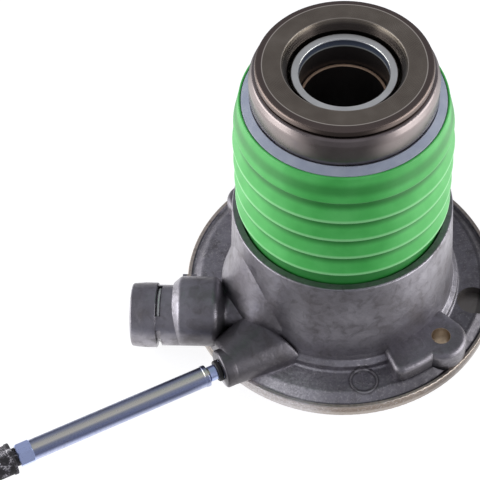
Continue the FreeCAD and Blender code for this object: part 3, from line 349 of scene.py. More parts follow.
# Laid in turn: painted shade in the pocket and on the mass, painted shade at the right, a painted
# patch of light at the left front, painted shade at the ring's foot and a painted highlight on its
# crest.
for mask, tone in ((corner_shade, "4A4748"), (right_side_shade, "2C2A2C"), (painted_light_patch, "E2DFE4"), (ring_foot_shade, "3C393A"),
                   (ring_crest_highlight, "A9A6AA")):
    layer = add_node(tree, "ShaderNodeMix",
                     {0: mask.outputs[0], 6: finish, 7: linear(tone)}, data_type="RGBA")
    finish = layer.outputs[2]
rough = add_node(tree, "ShaderNodeMapRange",
                 {"Value": flow.outputs["Fac"], "From Min": 0.3, "From Max": 0.7, "To Min": 0.36,
                  "To Max": 0.52})
skin_bump = add_node(tree, "ShaderNodeBump",
                     {"Height": grain.outputs["Fac"], "Strength": 0.25, "Distance": 0.12 * MM})
wave_bump = add_node(tree, "ShaderNodeBump",
                     {"Height": flow.outputs["Fac"], "Strength": 0.5, "Distance": 0.35 * MM,
                      "Normal": skin_bump.outputs["Normal"]})
tree.links.new(finish, shader.inputs["Base Color"])
tree.links.new(rough.outputs["Result"], shader.inputs["Roughness"])
tree.links.new(wave_bump.outputs["Normal"], shader.inputs["Normal"])
shader.inputs["Metallic"].default_value = 1.0
dress("housing", cast)

# %% [markdown]
# ## The long bleed screw
# It is turned from hexagon bar and zinc plated, then dipped in a clear blue passivate. The plating
# is bright with a blue cast, and handling leaves it speckled. Across the screw its colour is
# painted light: painted shade on the top edge, a pale straw painted highlight along its upper side
# and a painted reflection of the white floor along its lower side. The hexagon near its end and the
# neck are coloured a brighter blue. Dot products with two directions tell how far across and along
# the screw a place is.

# %% Blue passivated zinc
zinc, tree, shader, place = new_material("blue_passivated_zinc_plate")
BLOOM = 9 * MM
bloom = add_node(tree, "ShaderNodeTexNoise", {"Vector": place, "Scale": 1 / BLOOM, "Detail": 3.0})
speck = add_node(tree, "ShaderNodeTexNoise",
                 {"Vector": place, "Scale": 1 / SPECK, "Detail": 3.0, "Roughness": 0.7})
plate = add_node(tree, "ShaderNodeValToRGB",
                 {"Fac": bloom.outputs["Fac"]}, {0.35: "A2ABC8", 0.55: "A8AEBE", 0.75: "BBB4A2"})
dots = add_node(tree, "ShaderNodeMapRange",
                {"Value": speck.outputs["Fac"], "From Min": 0.45, "From Max": 0.6})
mixed = add_node(tree, "ShaderNodeMix",
                 {0: dots.outputs["Result"], 6: plate.outputs["Color"], 7: linear("4E5573")},
                 data_type="RGBA")
print("zinc bloom and specks:", BLOOM, SPECK)

# %% Painted light across the screw, and its hexagon and neck
ACROSS_SCREW = (-0.393, 0.713, 0.581)
ALONG_SCREW = (-0.8757, -0.4828, 0.0)
LOWER_SIDE = -14.1 * MM
UPPER_SIDE = -6.3 * MM
HEXAGON_FROM = 138.5 * MM
NECK_TO = 67.0 * MM
PAINTED_REFLECTION_SHARE = 0.82
across = add_node(tree, "ShaderNodeVectorMath",
                  {0: place, 1: ACROSS_SCREW}, operation="DOT_PRODUCT")
level = add_node(tree, "ShaderNodeMapRange",
                 {"Value": across.outputs["Value"], "From Min": LOWER_SIDE, "From Max": UPPER_SIDE})
# Painted light across the screw: a painted reflection of the floor low down, a painted highlight
# along the upper side and painted shade on the top edge.
painted_reflection_band = add_node(tree, "ShaderNodeValToRGB",
                  {"Fac": level.outputs["Result"]},
                  {0.08: "D3DAFA", 0.2: "9FA8D2", 0.36: "8A93B8", 0.48: "A4AABE", 0.58: "FFFAEA",
                   0.7: "F4F0E2", 0.84: "A6ACC2", 0.96: "3E4464"})
plate_with_painted_reflections = add_node(tree, "ShaderNodeMix",
                    {0: PAINTED_REFLECTION_SHARE, 6: mixed.outputs[2], 7: painted_reflection_band.outputs["Color"]},
                    data_type="RGBA")
along = add_node(tree, "ShaderNodeVectorMath", {0: place, 1: ALONG_SCREW}, operation="DOT_PRODUCT")
hexagon = add_node(tree, "ShaderNodeMapRange",
                   {"Value": along.outputs["Value"], "From Min": HEXAGON_FROM,
                    "From Max": HEXAGON_FROM + 0.2 * MM})
neck = add_node(tree, "ShaderNodeMapRange",
                {"Value": along.outputs["Value"], "From Min": NECK_TO,
                 "From Max": NECK_TO + 0.3 * MM, "To Min": 1.0, "To Max": 0.0})
bright = add_node(tree, "ShaderNodeMath",
                  {0: hexagon.outputs["Result"], 1: neck.outputs["Result"]}, operation="MAXIMUM")
final = add_node(tree, "ShaderNodeMix",
                 {0: bright.outputs["Value"], 6: plate_with_painted_reflections.outputs[2], 7: linear("C6D4FF")},
                 data_type="RGBA")
rough = add_node(tree, "ShaderNodeMapRange",
                 {"Value": speck.outputs["Fac"], "From Min": 0.3, "From Max": 0.7, "To Min": 0.24,
                  "To Max": 0.42})
bump = add_node(tree, "ShaderNodeBump",
                {"Height": speck.outputs["Fac"], "Strength": 0.3, "Distance": 0.08 * MM})
tree.links.new(final.outputs[2], shader.inputs["Base Color"])
tree.links.new(rough.outputs["Result"], shader.inputs["Roughness"])
tree.links.new(bump.outputs["Normal"], shader.inputs["Normal"])
shader.inputs["Metallic"].default_value = 1.0
dress("bleed_screw", zinc)

# %% [markdown]
# ## Rubber that isn't green
# The dust cap is black moulded rubber that has picked up pale casting dust, which the eye sees
# as light specks. The seals are plain nitrile rubber: near black, satin, with a faint skin.

# %% Dusty cap rubber
dusty, tree, shader, place = new_material("dusty_black_rubber")
CLUMP = 2.6 * MM
DUST = 0.55 * MM
clumps = add_node(tree, "ShaderNodeTexNoise", {"Vector": place, "Scale": 1 / CLUMP, "Detail": 2.0})
dust = add_node(tree, "ShaderNodeTexNoise",
                {"Vector": place, "Scale": 1 / DUST, "Detail": 2.0, "Roughness": 0.7})
lift = add_node(tree, "ShaderNodeMath",
                {0: dust.outputs["Fac"], 1: clumps.outputs["Fac"]}, operation="MULTIPLY")
specks = add_node(tree, "ShaderNodeValToRGB",
                  {"Fac": lift.outputs["Value"]},
                  {0.2: "232124", 0.28: "454247", 0.33: "8B888F", 0.42: "D2CFD2"})
bump = add_node(tree, "ShaderNodeBump",
                {"Height": dust.outputs["Fac"], "Strength": 0.6, "Distance": 0.12 * MM})
tree.links.new(specks.outputs["Color"], shader.inputs["Base Color"])
tree.links.new(bump.outputs["Normal"], shader.inputs["Normal"])
shader.inputs["Roughness"].default_value = 0.72
dress("dust_cap", dusty)

# %% Nitrile seals
nitrile, tree, shader, place = new_material("nitrile_rubber")
FILM = 3 * MM
film = add_node(tree, "ShaderNodeTexNoise", {"Vector": place, "Scale": 1 / FILM, "Detail": 4.0})
tone = add_node(tree, "ShaderNodeValToRGB",
                {"Fac": film.outputs["Fac"]}, {0.3: "161617", 0.7: "2A292B"})
rough = add_node(tree, "ShaderNodeMapRange",
                 {"Value": film.outputs["Fac"], "To Min": 0.4, "To Max": 0.65})
tree.links.new(tone.outputs["Color"], shader.inputs["Base Color"])
tree.links.new(rough.outputs["Result"], shader.inputs["Roughness"])
for name in ("guide_tube_o_ring", "flange_o_ring", "inlet_seal", "bleed_seal_ring", "piston_seal",
             "bearing_seal"):
    dress(name, nitrile)

# %% [markdown]
# ## Steel of the release bearing
# The turning race is hardened bearing steel, ground on its face and browned by oil and heat.
# Fine rings from grinding catch the light. A painted highlight runs as a thin line along both edges
# of the face, painted shade darkens its inner bevel, and the shoulder beyond the face is darker.
# The shell is drawn from sheet and phosphated, so it is duller but still shows soft boxes as long
# streaks.

# %% Browned bearing steel
browned, tree, shader, place = new_material("browned_bearing_steel")
apart, flat, radius = round_axis(tree, place)
RING_LINE = 0.45 * MM
STAIN = 7 * MM
rings = add_node(tree, "ShaderNodeTexWave",
                 {"Vector": place, "Scale": WAVE_UNIT / RING_LINE, "Distortion": 0.6, "Detail": 2.0,
                  "Detail Scale": 1.5}, wave_type="RINGS", rings_direction="Z")
stain = add_node(tree, "ShaderNodeTexNoise", {"Vector": place, "Scale": 1 / STAIN, "Detail": 5.0})
tone = add_node(tree, "ShaderNodeValToRGB",
                {"Fac": stain.outputs["Fac"]}, {0.3: "7A7167", 0.55: "857C71", 0.75: "8F867B"})
print("grinding rings every", RING_LINE)

# %% The race's darker shoulder, painted bevel shade and painted edge highlights
SHOULDER = (28.2 * MM, 28.5 * MM)
BEVEL_SHADE_RADII = (20.6 * MM, 21.4 * MM)
# Radius, half width and share of each painted highlight line
EDGE_HIGHLIGHTS = ((28.1 * MM, 0.22 * MM, 0.75), (21.6 * MM, 0.2 * MM, 0.35))
shoulder = add_node(tree, "ShaderNodeMapRange",
                    {"Value": radius, "From Min": SHOULDER[0], "From Max": SHOULDER[1],
                     "To Max": 0.9})
# Painted shade on the inner bevel.
bevel_shade = add_node(tree, "ShaderNodeMapRange",
                 {"Value": radius, "From Min": BEVEL_SHADE_RADII[0], "From Max": BEVEL_SHADE_RADII[1], "To Min": 0.85,
                  "To Max": 0.0})
shoulder_and_painted_light = [(shoulder, "6A5E5A"), (bevel_shade, "3B3534")]
# A painted highlight as a thin line along each edge of the face.
for edge_r, width, share in EDGE_HIGHLIGHTS:
    away = add_node(tree, "ShaderNodeMath", {0: radius, 1: edge_r}, operation="SUBTRACT")
    gap = add_node(tree, "ShaderNodeMath", {0: away.outputs["Value"]}, operation="ABSOLUTE")
    edge_highlight = add_node(tree, "ShaderNodeMapRange",
                    {"Value": gap.outputs["Value"], "From Min": 0.06 * MM, "From Max": width,
                     "To Min": share, "To Max": 0.0})
    shoulder_and_painted_light.append((edge_highlight, "F2E8DC"))
race_colour_and_painted_light = tone.outputs["Color"]
for mask, shade in shoulder_and_painted_light:
    layer = add_node(tree, "ShaderNodeMix",
                     {0: mask.outputs["Result"], 6: race_colour_and_painted_light, 7: linear(shade)}, data_type="RGBA")
    race_colour_and_painted_light = layer.outputs[2]
rough = add_node(tree, "ShaderNodeMapRange",
                 {"Value": rings.outputs["Fac"], "To Min": 0.26, "To Max": 0.36})
bump = add_node(tree, "ShaderNodeBump",
                {"Height": rings.outputs["Fac"], "Strength": 0.06, "Distance": 0.02 * MM})
tree.links.new(race_colour_and_painted_light, shader.inputs["Base Color"])
tree.links.new(rough.outputs["Result"], shader.inputs["Roughness"])
tree.links.new(bump.outputs["Normal"], shader.inputs["Normal"])
shader.inputs["Metallic"].default_value = 1.0
for name in ("turning_race", "fixed_race"):
    dress(name, browned)

# %% Drawn and phosphated shell steel
drawn, tree, shader, place = new_material("drawn_phosphated_steel")
CLOUD = 10 * MM
FINE = 0.5 * MM
cloud = add_node(tree, "ShaderNodeTexNoise", {"Vector": place, "Scale": 1 / CLOUD, "Detail": 4.0})
fine = add_node(tree, "ShaderNodeTexNoise", {"Vector": place, "Scale": 1 / FINE, "Detail": 2.0})
tone = add_node(tree, "ShaderNodeValToRGB",
                {"Fac": cloud.outputs["Fac"]}, {0.3: "7C7372", 0.7: "8C8382"})
rough = add_node(tree, "ShaderNodeMapRange",
                 {"Value": cloud.outputs["Fac"], "From Min": 0.3, "From Max": 0.7, "To Min": 0.24,
                  "To Max": 0.34})
bump = add_node(tree, "ShaderNodeBump",
                {"Height": fine.outputs["Fac"], "Strength": 0.08, "Distance": 0.03 * MM})
tree.links.new(tone.outputs["Color"], shader.inputs["Base Color"])
tree.links.new(rough.outputs["Result"], shader.inputs["Roughness"])
tree.links.new(bump.outputs["Normal"], shader.inputs["Normal"])
shader.inputs["Metallic"].default_value = 1.0
dress("bearing_shell", drawn)

# %% [markdown]
# ## Bright steel
# The sleeve's collar is ground and polished, the guide tube is ground for the seal to run on, the
# balls are lapped, and the clip and stop ring are drawn spring wire. All are bright and differ in
# how fine their lines are. Inside the bore the steel is painted dark as painted shade, and it is
# made less metallic, so it scatters light and isn't a mirror. At its mouth a painted highlight lies
# on the edge, with a painted bluish reflection band and a pale painted line below it, and a painted
# highlight marks the guide tube's rim.

# %% Ground sleeve and guide tube
ground, tree, shader, place = new_material("ground_bright_steel")
apart, flat, radius = round_axis(tree, place)
GROUND_LINE = 0.4 * MM
CLOUD = 6 * MM
rings = add_node(tree, "ShaderNodeTexWave",
                 {"Vector": place, "Scale": WAVE_UNIT / GROUND_LINE, "Distortion": 1.0,
                  "Detail": 2.0}, wave_type="BANDS", bands_direction="Z")
cloud = add_node(tree, "ShaderNodeTexNoise", {"Vector": place, "Scale": 1 / CLOUD, "Detail": 3.0})
tone = add_node(tree, "ShaderNodeValToRGB",
                {"Fac": cloud.outputs["Fac"]}, {0.3: "DCDDD9", 0.7: "ECEDE9"})
print("ground lines every", GROUND_LINE)

# %% Painted shade and painted highlights in the bore
BORE_R = 15.6 * MM
MOUTH_Z = 123.0 * MM
MOUTH_DEPTH = 5 * MM
TUBE_RIM_Z = 110.5 * MM
BORE_DULL_SHARE = 0.6
bore = add_node(tree, "ShaderNodeMapRange",
                {"Value": radius, "From Min": BORE_R + 0.02 * MM, "From Max": BORE_R + 0.1 * MM,
                 "To Min": 1.0, "To Max": 0.0})
depth = add_node(tree, "ShaderNodeMapRange",
                 {"Value": apart["Z"], "From Min": MOUTH_Z - MOUTH_DEPTH, "From Max": MOUTH_Z})
# Painted light down the bore: painted shade deep down, a pale painted line, a painted bluish
# reflection band and a painted highlight on the mouth's edge.
bore_painted_light = add_node(tree, "ShaderNodeValToRGB",
                {"Fac": depth.outputs["Result"]},
                {0.26: "45403E", 0.31: "D5DBDA", 0.39: "D5DBDA", 0.43: "7C879B", 0.85: "565F73",
                 0.92: "F2F5F8"})
colour = add_node(tree, "ShaderNodeMix",
                  {0: bore.outputs["Result"], 6: tone.outputs["Color"], 7: bore_painted_light.outputs["Color"]},
                  data_type="RGBA")
# A painted highlight on the guide tube's rim, seen inside the bore.
tube_part = add_node(tree, "ShaderNodeMapRange",
                     {"Value": radius, "From Min": BORE_R - 0.15 * MM,
                      "From Max": BORE_R - 0.1 * MM, "To Min": 1.0, "To Max": 0.0})
rim_part = add_node(tree, "ShaderNodeMapRange",
                    {"Value": apart["Z"], "From Min": TUBE_RIM_Z,
                     "From Max": TUBE_RIM_Z + 0.2 * MM})
tube_rim_highlight = add_node(tree, "ShaderNodeMath",
                    {0: tube_part.outputs["Result"], 1: rim_part.outputs["Result"]},
                    operation="MULTIPLY")
rimmed_with_painted_light = add_node(tree, "ShaderNodeMix",
                  {0: tube_rim_highlight.outputs["Value"], 6: colour.outputs[2], 7: linear("D8B79A")},
                  data_type="RGBA")
rough = add_node(tree, "ShaderNodeMath",
                 {0: rings.outputs["Fac"], 1: 0.1, 2: 0.24}, operation="MULTIPLY_ADD")
bare = add_node(tree, "ShaderNodeMath",
                {0: bore.outputs["Result"], 1: -BORE_DULL_SHARE, 2: 1.0}, operation="MULTIPLY_ADD")
tree.links.new(rimmed_with_painted_light.outputs[2], shader.inputs["Base Color"])
tree.links.new(rough.outputs["Value"], shader.inputs["Roughness"])
tree.links.new(bare.outputs["Value"], shader.inputs["Metallic"])
for name in ("bearing_sleeve", "guide_tube", "spring_washer", "bearing_balls"):
    dress(name, ground)

# %% Drawn spring wire
# Zinc keeps the wire from rusting. Its fine crystals scatter light, so it isn't quite a mirror. Its
# near white tone is a painted highlight that keeps the clip bright in its shaded groove.
wire, tree, shader, place = new_material("zinc_plated_spring_wire")
CLOUD = 1.5 * MM
cloud = add_node(tree, "ShaderNodeTexNoise", {"Vector": place, "Scale": 1 / CLOUD, "Detail": 3.0})
tone = add_node(tree, "ShaderNodeValToRGB",
                {"Fac": cloud.outputs["Fac"]}, {0.3: "E2E3E2", 0.7: "F6F6F4"})
rough = add_node(tree, "ShaderNodeMapRange",
                 {"Value": cloud.outputs["Fac"], "To Min": 0.25, "To Max": 0.4})
tree.links.new(tone.outputs["Color"], shader.inputs["Base Color"])
tree.links.new(rough.outputs["Result"], shader.inputs["Roughness"])
shader.inputs["Metallic"].default_value = 0.35
for name in ("inlet_clip", "stop_ring"):
    dress(name, wire)

# %% Turned aluminium piston
# A lathe tool leaves closely spaced rings round the bare metal.
turned_alloy, tree, shader, place = new_material("turned_aluminium")
TURNED_LINE = 0.3 * MM
rings = add_node(tree, "ShaderNodeTexWave",
                 {"Vector": place, "Scale": WAVE_UNIT / TURNED_LINE, "Distortion": 0.5},
                 wave_type="BANDS", bands_direction="Z")
tone = add_node(tree, "ShaderNodeValToRGB",
                {"Fac": rings.outputs["Fac"]}, {0.2: "A5A6A9", 0.8: "BFC0C2"})
tree.links.new(tone.outputs["Color"], shader.inputs["Base Color"])
shader.inputs["Metallic"].default_value = 1.0
shader.inputs["Roughness"].default_value = 0.35
dress("piston", turned_alloy)

# %% [markdown]
# ## Moulded plastics
# The support ring is natural nylon: milky, a little blue, and light passes some way into it.
# Subsurface scattering gives that soft look. The ball cage is glass filled nylon, and is duller.

# %% Natural nylon
nylon, tree, shader, place = new_material("natural_nylon")
CLOUD = 5 * MM
cloud = add_node(tree, "ShaderNodeTexNoise", {"Vector": place, "Scale": 1 / CLOUD, "Detail": 3.0})
tone = add_node(tree, "ShaderNodeValToRGB",
                {"Fac": cloud.outputs["Fac"]}, {0.3: "9AA2B4", 0.7: "A9B0BF"})
tree.links.new(tone.outputs["Color"], shader.inputs["Base Color"])
shader.inputs["Roughness"].default_value = 0.38
shader.inputs["IOR"].default_value = 1.53
shader.inputs["Subsurface Weight"].default_value = 0.35
shader.inputs["Subsurface Radius"].default_value = (1.0, 1.0, 1.2)
shader.inputs["Subsurface Scale"].default_value = 1.5 * MM
dress("support_ring", nylon)

# %% Cage nylon
cage, tree, shader, place = new_material("glass_filled_nylon")
FIBRE = 0.8 * MM
fibres = add_node(tree, "ShaderNodeTexNoise", {"Vector": place, "Scale": 1 / FIBRE, "Detail": 3.0})
tone = add_node(tree, "ShaderNodeValToRGB",
                {"Fac": fibres.outputs["Fac"]}, {0.35: "8C8676", 0.65: "A39C8A"})
tree.links.new(tone.outputs["Color"], shader.inputs["Base Color"])
shader.inputs["Roughness"].default_value = 0.5
dress("ball_cage", cage)

# %% [markdown]
# ## The gaiter
# The green gaiter is moulded rubber with five folds like a saw's teeth: each has a thin crest, a
# short undercut below it and a long slope up to the next. A painted highlight lightens its crests,
# and painted shade darkens the grooves between them and a band round the top under the lip.

# %% Green moulded rubber
green, tree, shader, place = new_material("green_moulded_rubber")
apart, flat, radius = round_axis(tree, place)
CREST_R = 39.5 * MM
BLOOM = 11 * MM
# A painted highlight on each crest.
crest_highlight = add_node(tree, "ShaderNodeMapRange",
                 {"Value": radius, "From Min": CREST_R - 0.22 * MM,
                  "From Max": CREST_R - 0.02 * MM}, interpolation_type="SMOOTHSTEP")
bloom = add_node(tree, "ShaderNodeTexNoise", {"Vector": place, "Scale": 1 / BLOOM, "Detail": 3.0})
tone = add_node(tree, "ShaderNodeValToRGB",
                {"Fac": bloom.outputs["Fac"]}, {0.3: "43B050", 0.5: "4EBB5A", 0.72: "5DC768"})
print("crests lighten at radius", CREST_R)

# %% Painted shade in the grooves and under the lip
GROOVE_SHADE_RADII = (37.35 * MM, 38.25 * MM)
GROOVE_SHADE_TO = (101.0 * MM, 103.0 * MM)
WAIST_Z = 104.6 * MM
WAIST_SHADE_FADE = (0.6 * MM, 3.4 * MM)
# Painted shade in each groove, fading out towards the crest above it.
fold = add_node(tree, "ShaderNodeMapRange",
                {"Value": radius, "From Min": GROOVE_SHADE_RADII[0], "From Max": GROOVE_SHADE_RADII[1], "To Min": 0.8,
                 "To Max": 0.0}, interpolation_type="SMOOTHSTEP")
under_lip = add_node(tree, "ShaderNodeMapRange",
                     {"Value": apart["Z"], "From Min": GROOVE_SHADE_TO[0], "From Max": GROOVE_SHADE_TO[1],
                      "To Min": 1.0, "To Max": 0.0})
from_waist = add_node(tree, "ShaderNodeMath", {0: apart["Z"], 1: WAIST_Z}, operation="SUBTRACT")
away = add_node(tree, "ShaderNodeMath", {0: from_waist.outputs["Value"]}, operation="ABSOLUTE")
waist_shade = add_node(tree, "ShaderNodeMapRange",
                 {"Value": away.outputs["Value"], "From Min": WAIST_SHADE_FADE[0],
                  "From Max": WAIST_SHADE_FADE[1], "To Min": 0.55, "To Max": 0.0},
                 interpolation_type="SMOOTHSTEP")
low_groove_shade = add_node(tree, "ShaderNodeMath",
                    {0: fold.outputs["Result"], 1: under_lip.outputs["Result"]},
                    operation="MULTIPLY")
painted_groove_shade = add_node(tree, "ShaderNodeMath",
                 {0: low_groove_shade.outputs["Value"], 1: waist_shade.outputs["Result"]}, operation="MAXIMUM")
green_with_painted_light = tone.outputs["Color"]
# A painted highlight on the crests, then painted shade in the grooves and round the waist.
for mask, shade in ((crest_highlight, "8FE094"), (painted_groove_shade, "1F6E2B")):
    layer = add_node(tree, "ShaderNodeMix",
                     {0: mask.outputs[0], 6: green_with_painted_light, 7: linear(shade)}, data_type="RGBA")
    green_with_painted_light = layer.outputs[2]
print("grime up to", GROOVE_SHADE_TO[1], "and round", WAIST_Z)

# %% The rubber's skin
SKIN = 0.8 * MM
skin = add_node(tree, "ShaderNodeTexNoise", {"Vector": place, "Scale": 1 / SKIN, "Detail": 2.0})
rough = add_node(tree, "ShaderNodeMapRange",
                 {"Value": skin.outputs["Fac"], "To Min": 0.34, "To Max": 0.5})
bump = add_node(tree, "ShaderNodeBump",
                {"Height": skin.outputs["Fac"], "Strength": 0.12, "Distance": 0.05 * MM})
tree.links.new(green_with_painted_light, shader.inputs["Base Color"])
tree.links.new(rough.outputs["Result"], shader.inputs["Roughness"])
tree.links.new(bump.outputs["Normal"], shader.inputs["Normal"])
shader.inputs["IOR"].default_value = 1.5
print("gaiter material:", green.name)

# %% [markdown]
# ### Two closed outlines
# The gaiter is a shape of revolution, so closed outlines of (radius, height) corners are spun round
# the axis. It is made as two pieces that meet at a level seam. The folds are fixed to the housing,
# and the lip stays whole in the support ring's groove and rides with the piston.

# %% The gaiter's outlines
FOLDS = 5
FOLD_PITCH = 9.88
TOP_CREST_Z = 99.5
CRESTS = [TOP_CREST_Z - FOLD_PITCH * fold for fold in range(FOLDS)]
TOP_CREST_R = 38.8
LOWER_CREST_R = 39.5
GROOVE_R = 37.3
FOOT_R = 37.5
WALL = 1.3
SEAM = 104.2
# Radius and height of each corner in mm
lip_outer = [(36.3, 110.2), (36.72, 110.0), (36.8, 109.2), (37.9, SEAM)]
lip_inner = [(35.9, 110.2), (35.9, 106.94), (34.96, 106.94), (34.96, 105.06), (35.86, 105.06),
             (35.86, SEAM)]
outer = [lip_outer[-1]]
inner = [lip_inner[-1], (35.86, 103.4)]
for height in CRESTS:
    crest_r = TOP_CREST_R if height == CRESTS[0] else LOWER_CREST_R
    outer += [(crest_r - 0.12, height + 1.1), (crest_r, height + 0.28),
              (crest_r - 0.08, height - 0.22), (crest_r - 1.15, height - 0.95),
              (GROOVE_R, height - 1.7), (GROOVE_R + 0.12, height - 3.2)]
    inner += [(crest_r - WALL, height + 0.93), (GROOVE_R - WALL, height - 1.33)]
outer += [(FOOT_R, 48.56), (38.24, 47.06), (38.24, 44.06)]
inner += [(FOOT_R - WALL, 48.06), (FOOT_R - WALL, 44.06)]
outline = outer + inner[::-1]
print("outline corners:", len(outline))

# %% Spin the folds and the lip
AROUND = 144
# In metres: points this near become one, and a height this near to the seam is level with it
WELD = 1e-7
LEVEL_WITHIN = 1e-6


def mesh_object(name, shape, material):
    """Turns a bmesh into a smooth object with one material, and frees the bmesh."""
    for face in shape.faces:
        face.smooth = True
    mesh = bpy.data.meshes.new(name)
    shape.to_mesh(mesh)
    shape.free()
    mesh.materials.append(material)
    piece = bpy.data.objects.new(name, mesh)
    bpy.context.scene.collection.objects.link(piece)
    print(name, "faces:", len(mesh.polygons))
    return piece


def spun_piece(name, corners, material):
    """A piece spun round the main axis from (radius, height) corners in mm, sharp at the seam."""
    shape = bmesh.new()
    points = [shape.verts.new((r * MM, 0.0, z * MM)) for r, z in corners]
    edges = [shape.edges.new((points[i - 1], points[i])) for i in range(len(points))]
    bmesh.ops.spin(shape, geom=points + edges, cent=(0, 0, 0), axis=(0, 0, 1), dvec=(0, 0, 0),
                   angle=FULL_TURN, steps=AROUND, use_merge=True)
    bmesh.ops.remove_doubles(shape, verts=shape.verts, dist=WELD)
    bmesh.ops.recalc_face_normals(shape, faces=shape.faces)
    for edge in shape.edges:
        off_seam = [abs(corner.co.z - SEAM * MM) > LEVEL_WITHIN for corner in edge.verts]
        edge.smooth = any(off_seam)
    return mesh_object(name, shape, material)


gaiter = spun_piece("ribbed_gaiter", outline, green)
lip = spun_piece("gaiter_lip", lip_outer + lip_inner[::-1], green)
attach(gaiter, "housing")
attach(lip, "piston")
for piece in (gaiter, lip):
    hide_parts("gaiter")
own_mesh(gaiter)

# %% [markdown]
# ## The soft corner behind the bleed boss
# Between the boss and the cup's foot the casting is one soft mass, because a die has no sharp
# inner corner there. A convex hull is stretched over two circles round the boss, a row of
# points on the cup's wall and one on the flange. A voxel remesh and some smoothing then round
# it as a casting's fillets are, and the screw's hole is cut through it.

# %% Stretch a hull from the boss to the cup's foot
BOSS_FACE = Vector((-44.55, -48.64, 12.0)) * MM
BOSS_IN = Vector((0.8757, 0.4828, 0.0))
ALONG_BOSS = BOSS_IN.to_track_quat("Z", "Y").to_matrix().to_4x4()
# Depth behind the boss's face and radius, in mm
BOSS_CIRCLES = [(2.2, 7.45), (24.0, 4.6)]
ROUND_STEPS = 32
# Angle round the cup in degrees, distance from the axis and height in mm
WALL_LINE = [(218, 43.6, 20.5), (224, 43.6, 21.6), (231, 43.6, 21.4), (237, 43.6, 19.4),
             (243, 43.6, 17.6), (248, 43.6, 14.4), (251, 43.6, 11.0)]
FLANGE_LINE = [(218, 60.4, 15.3), (218, 60.4, 6.5), (218, 43.6, 6.5), (235.2, 60.2, 6.5),
               (237, 56.6, 6.5), (241, 50.4, 6.5), (247, 45.6, 6.5), (251, 43.6, 6.5)]
shape = bmesh.new()
for depth, circle_r in BOSS_CIRCLES:
    centre = Matrix.Translation(BOSS_FACE + BOSS_IN * depth * MM)
    bmesh.ops.create_circle(shape, cap_ends=False, radius=circle_r * MM, segments=ROUND_STEPS,
                            matrix=centre @ ALONG_BOSS)
for angle, distance, height in WALL_LINE + FLANGE_LINE:
    turn = math.radians(angle)
    shape.verts.new((distance * MM * math.cos(turn), distance * MM * math.sin(turn), height * MM))
hull = bmesh.ops.convex_hull(shape, input=shape.verts)
spare = {item for item in hull["geom_interior"] + hull["geom_unused"]
         if isinstance(item, bmesh.types.BMVert)}
bmesh.ops.delete(shape, geom=list(spare), context="VERTS")
bmesh.ops.recalc_face_normals(shape, faces=shape.faces)
corner = mesh_object("cast_corner", shape, cast)

# %% Round it and cut the screw's hole
DRILL_R = 4.0
DRILL_LENGTH = 90.0
VOXEL = 0.6 * MM
SMOOTHINGS = 14
shape = bmesh.new()
bmesh.ops.create_cone(shape, cap_ends=True, segments=ROUND_STEPS, radius1=DRILL_R * MM,
                      radius2=DRILL_R * MM, depth=DRILL_LENGTH * MM,
                      matrix=Matrix.Translation(BOSS_FACE) @ ALONG_BOSS)
drill = mesh_object("corner_drill", shape, cast)
remesh = corner.modifiers.new("remesh", "REMESH")
remesh.mode = "VOXEL"
remesh.voxel_size = VOXEL
soften = corner.modifiers.new("soften", "SMOOTH")
soften.factor = 0.6
soften.iterations = SMOOTHINGS
hole = corner.modifiers.new("hole", "BOOLEAN")
hole.operation = "DIFFERENCE"
hole.object = drill
evaluated = corner.evaluated_get(bpy.context.evaluated_depsgraph_get())
rounded = bpy.data.meshes.new_from_object(evaluated)
corner.modifiers.clear()
corner.data = rounded
bpy.data.objects.remove(drill)
rounded.materials.clear()
rounded.materials.append(cast)
for face in rounded.polygons:
    face.use_smooth = True
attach(corner, "housing")
print("corner faces:", len(rounded.polygons))

# %% [markdown]
# ## The preload spring
# A coil spring round the cylinder holds the bearing against the clutch. It is phosphated, which
# leaves the steel dark and dull, and its ends are ground flat. A round wire section is spun with
# a small rise at each step, which makes a helix, and two cuts level the ends.

# %% Phosphated spring steel
coil_steel, tree, shader, place = new_material("phosphated_spring_steel")
FILM = 2 * MM
film = add_node(tree, "ShaderNodeTexNoise", {"Vector": place, "Scale": 1 / FILM, "Detail": 3.0})
tone = add_node(tree, "ShaderNodeValToRGB",
                {"Fac": film.outputs["Fac"]}, {0.3: "4C4A4A", 0.7: "625F5E"})
tree.links.new(tone.outputs["Color"], shader.inputs["Base Color"])
shader.inputs["Metallic"].default_value = 1.0
shader.inputs["Roughness"].default_value = 0.42
print("spring material:", coil_steel.name)

# %% Wind the spring
SPRING_R = 30.9
WIRE_R = 1.58
WIRE_STEPS = 12
FOOT = 20.05
HEAD = 108.05
TURNS = 6
STEPS_A_TURN = 40
steps = TURNS * STEPS_A_TURN
on_edge = Matrix.Rotation(math.pi / 2, 4, "X")
at_foot = Matrix.Translation((SPRING_R * MM, 0, FOOT * MM))
shape = bmesh.new()
section = bmesh.ops.create_circle(shape, cap_ends=True, radius=WIRE_R * MM, segments=WIRE_STEPS,
                                  matrix=at_foot @ on_edge)
bmesh.ops.spin(shape, geom=section["verts"] + shape.edges[:] + shape.faces[:], cent=(0, 0, 0),
               axis=(0, 0, 1), dvec=(0, 0, (HEAD - FOOT) * MM / steps), angle=TURNS * FULL_TURN,
               steps=steps, use_merge=False)
bmesh.ops.remove_doubles(shape, verts=shape.verts, dist=WELD)
for height, side in ((FOOT, -1), (HEAD, 1)):
    everything = shape.verts[:] + shape.edges[:] + shape.faces[:]
    cut = bmesh.ops.bisect_plane(shape, geom=everything, plane_co=(0, 0, height * MM),
                                 plane_no=(0, 0, side), clear_outer=True)
    rim = [item for item in cut["geom_cut"] if isinstance(item, bmesh.types.BMEdge)]
    bmesh.ops.holes_fill(shape, edges=rim, sides=0)
bmesh.ops.recalc_face_normals(shape, faces=shape.faces)
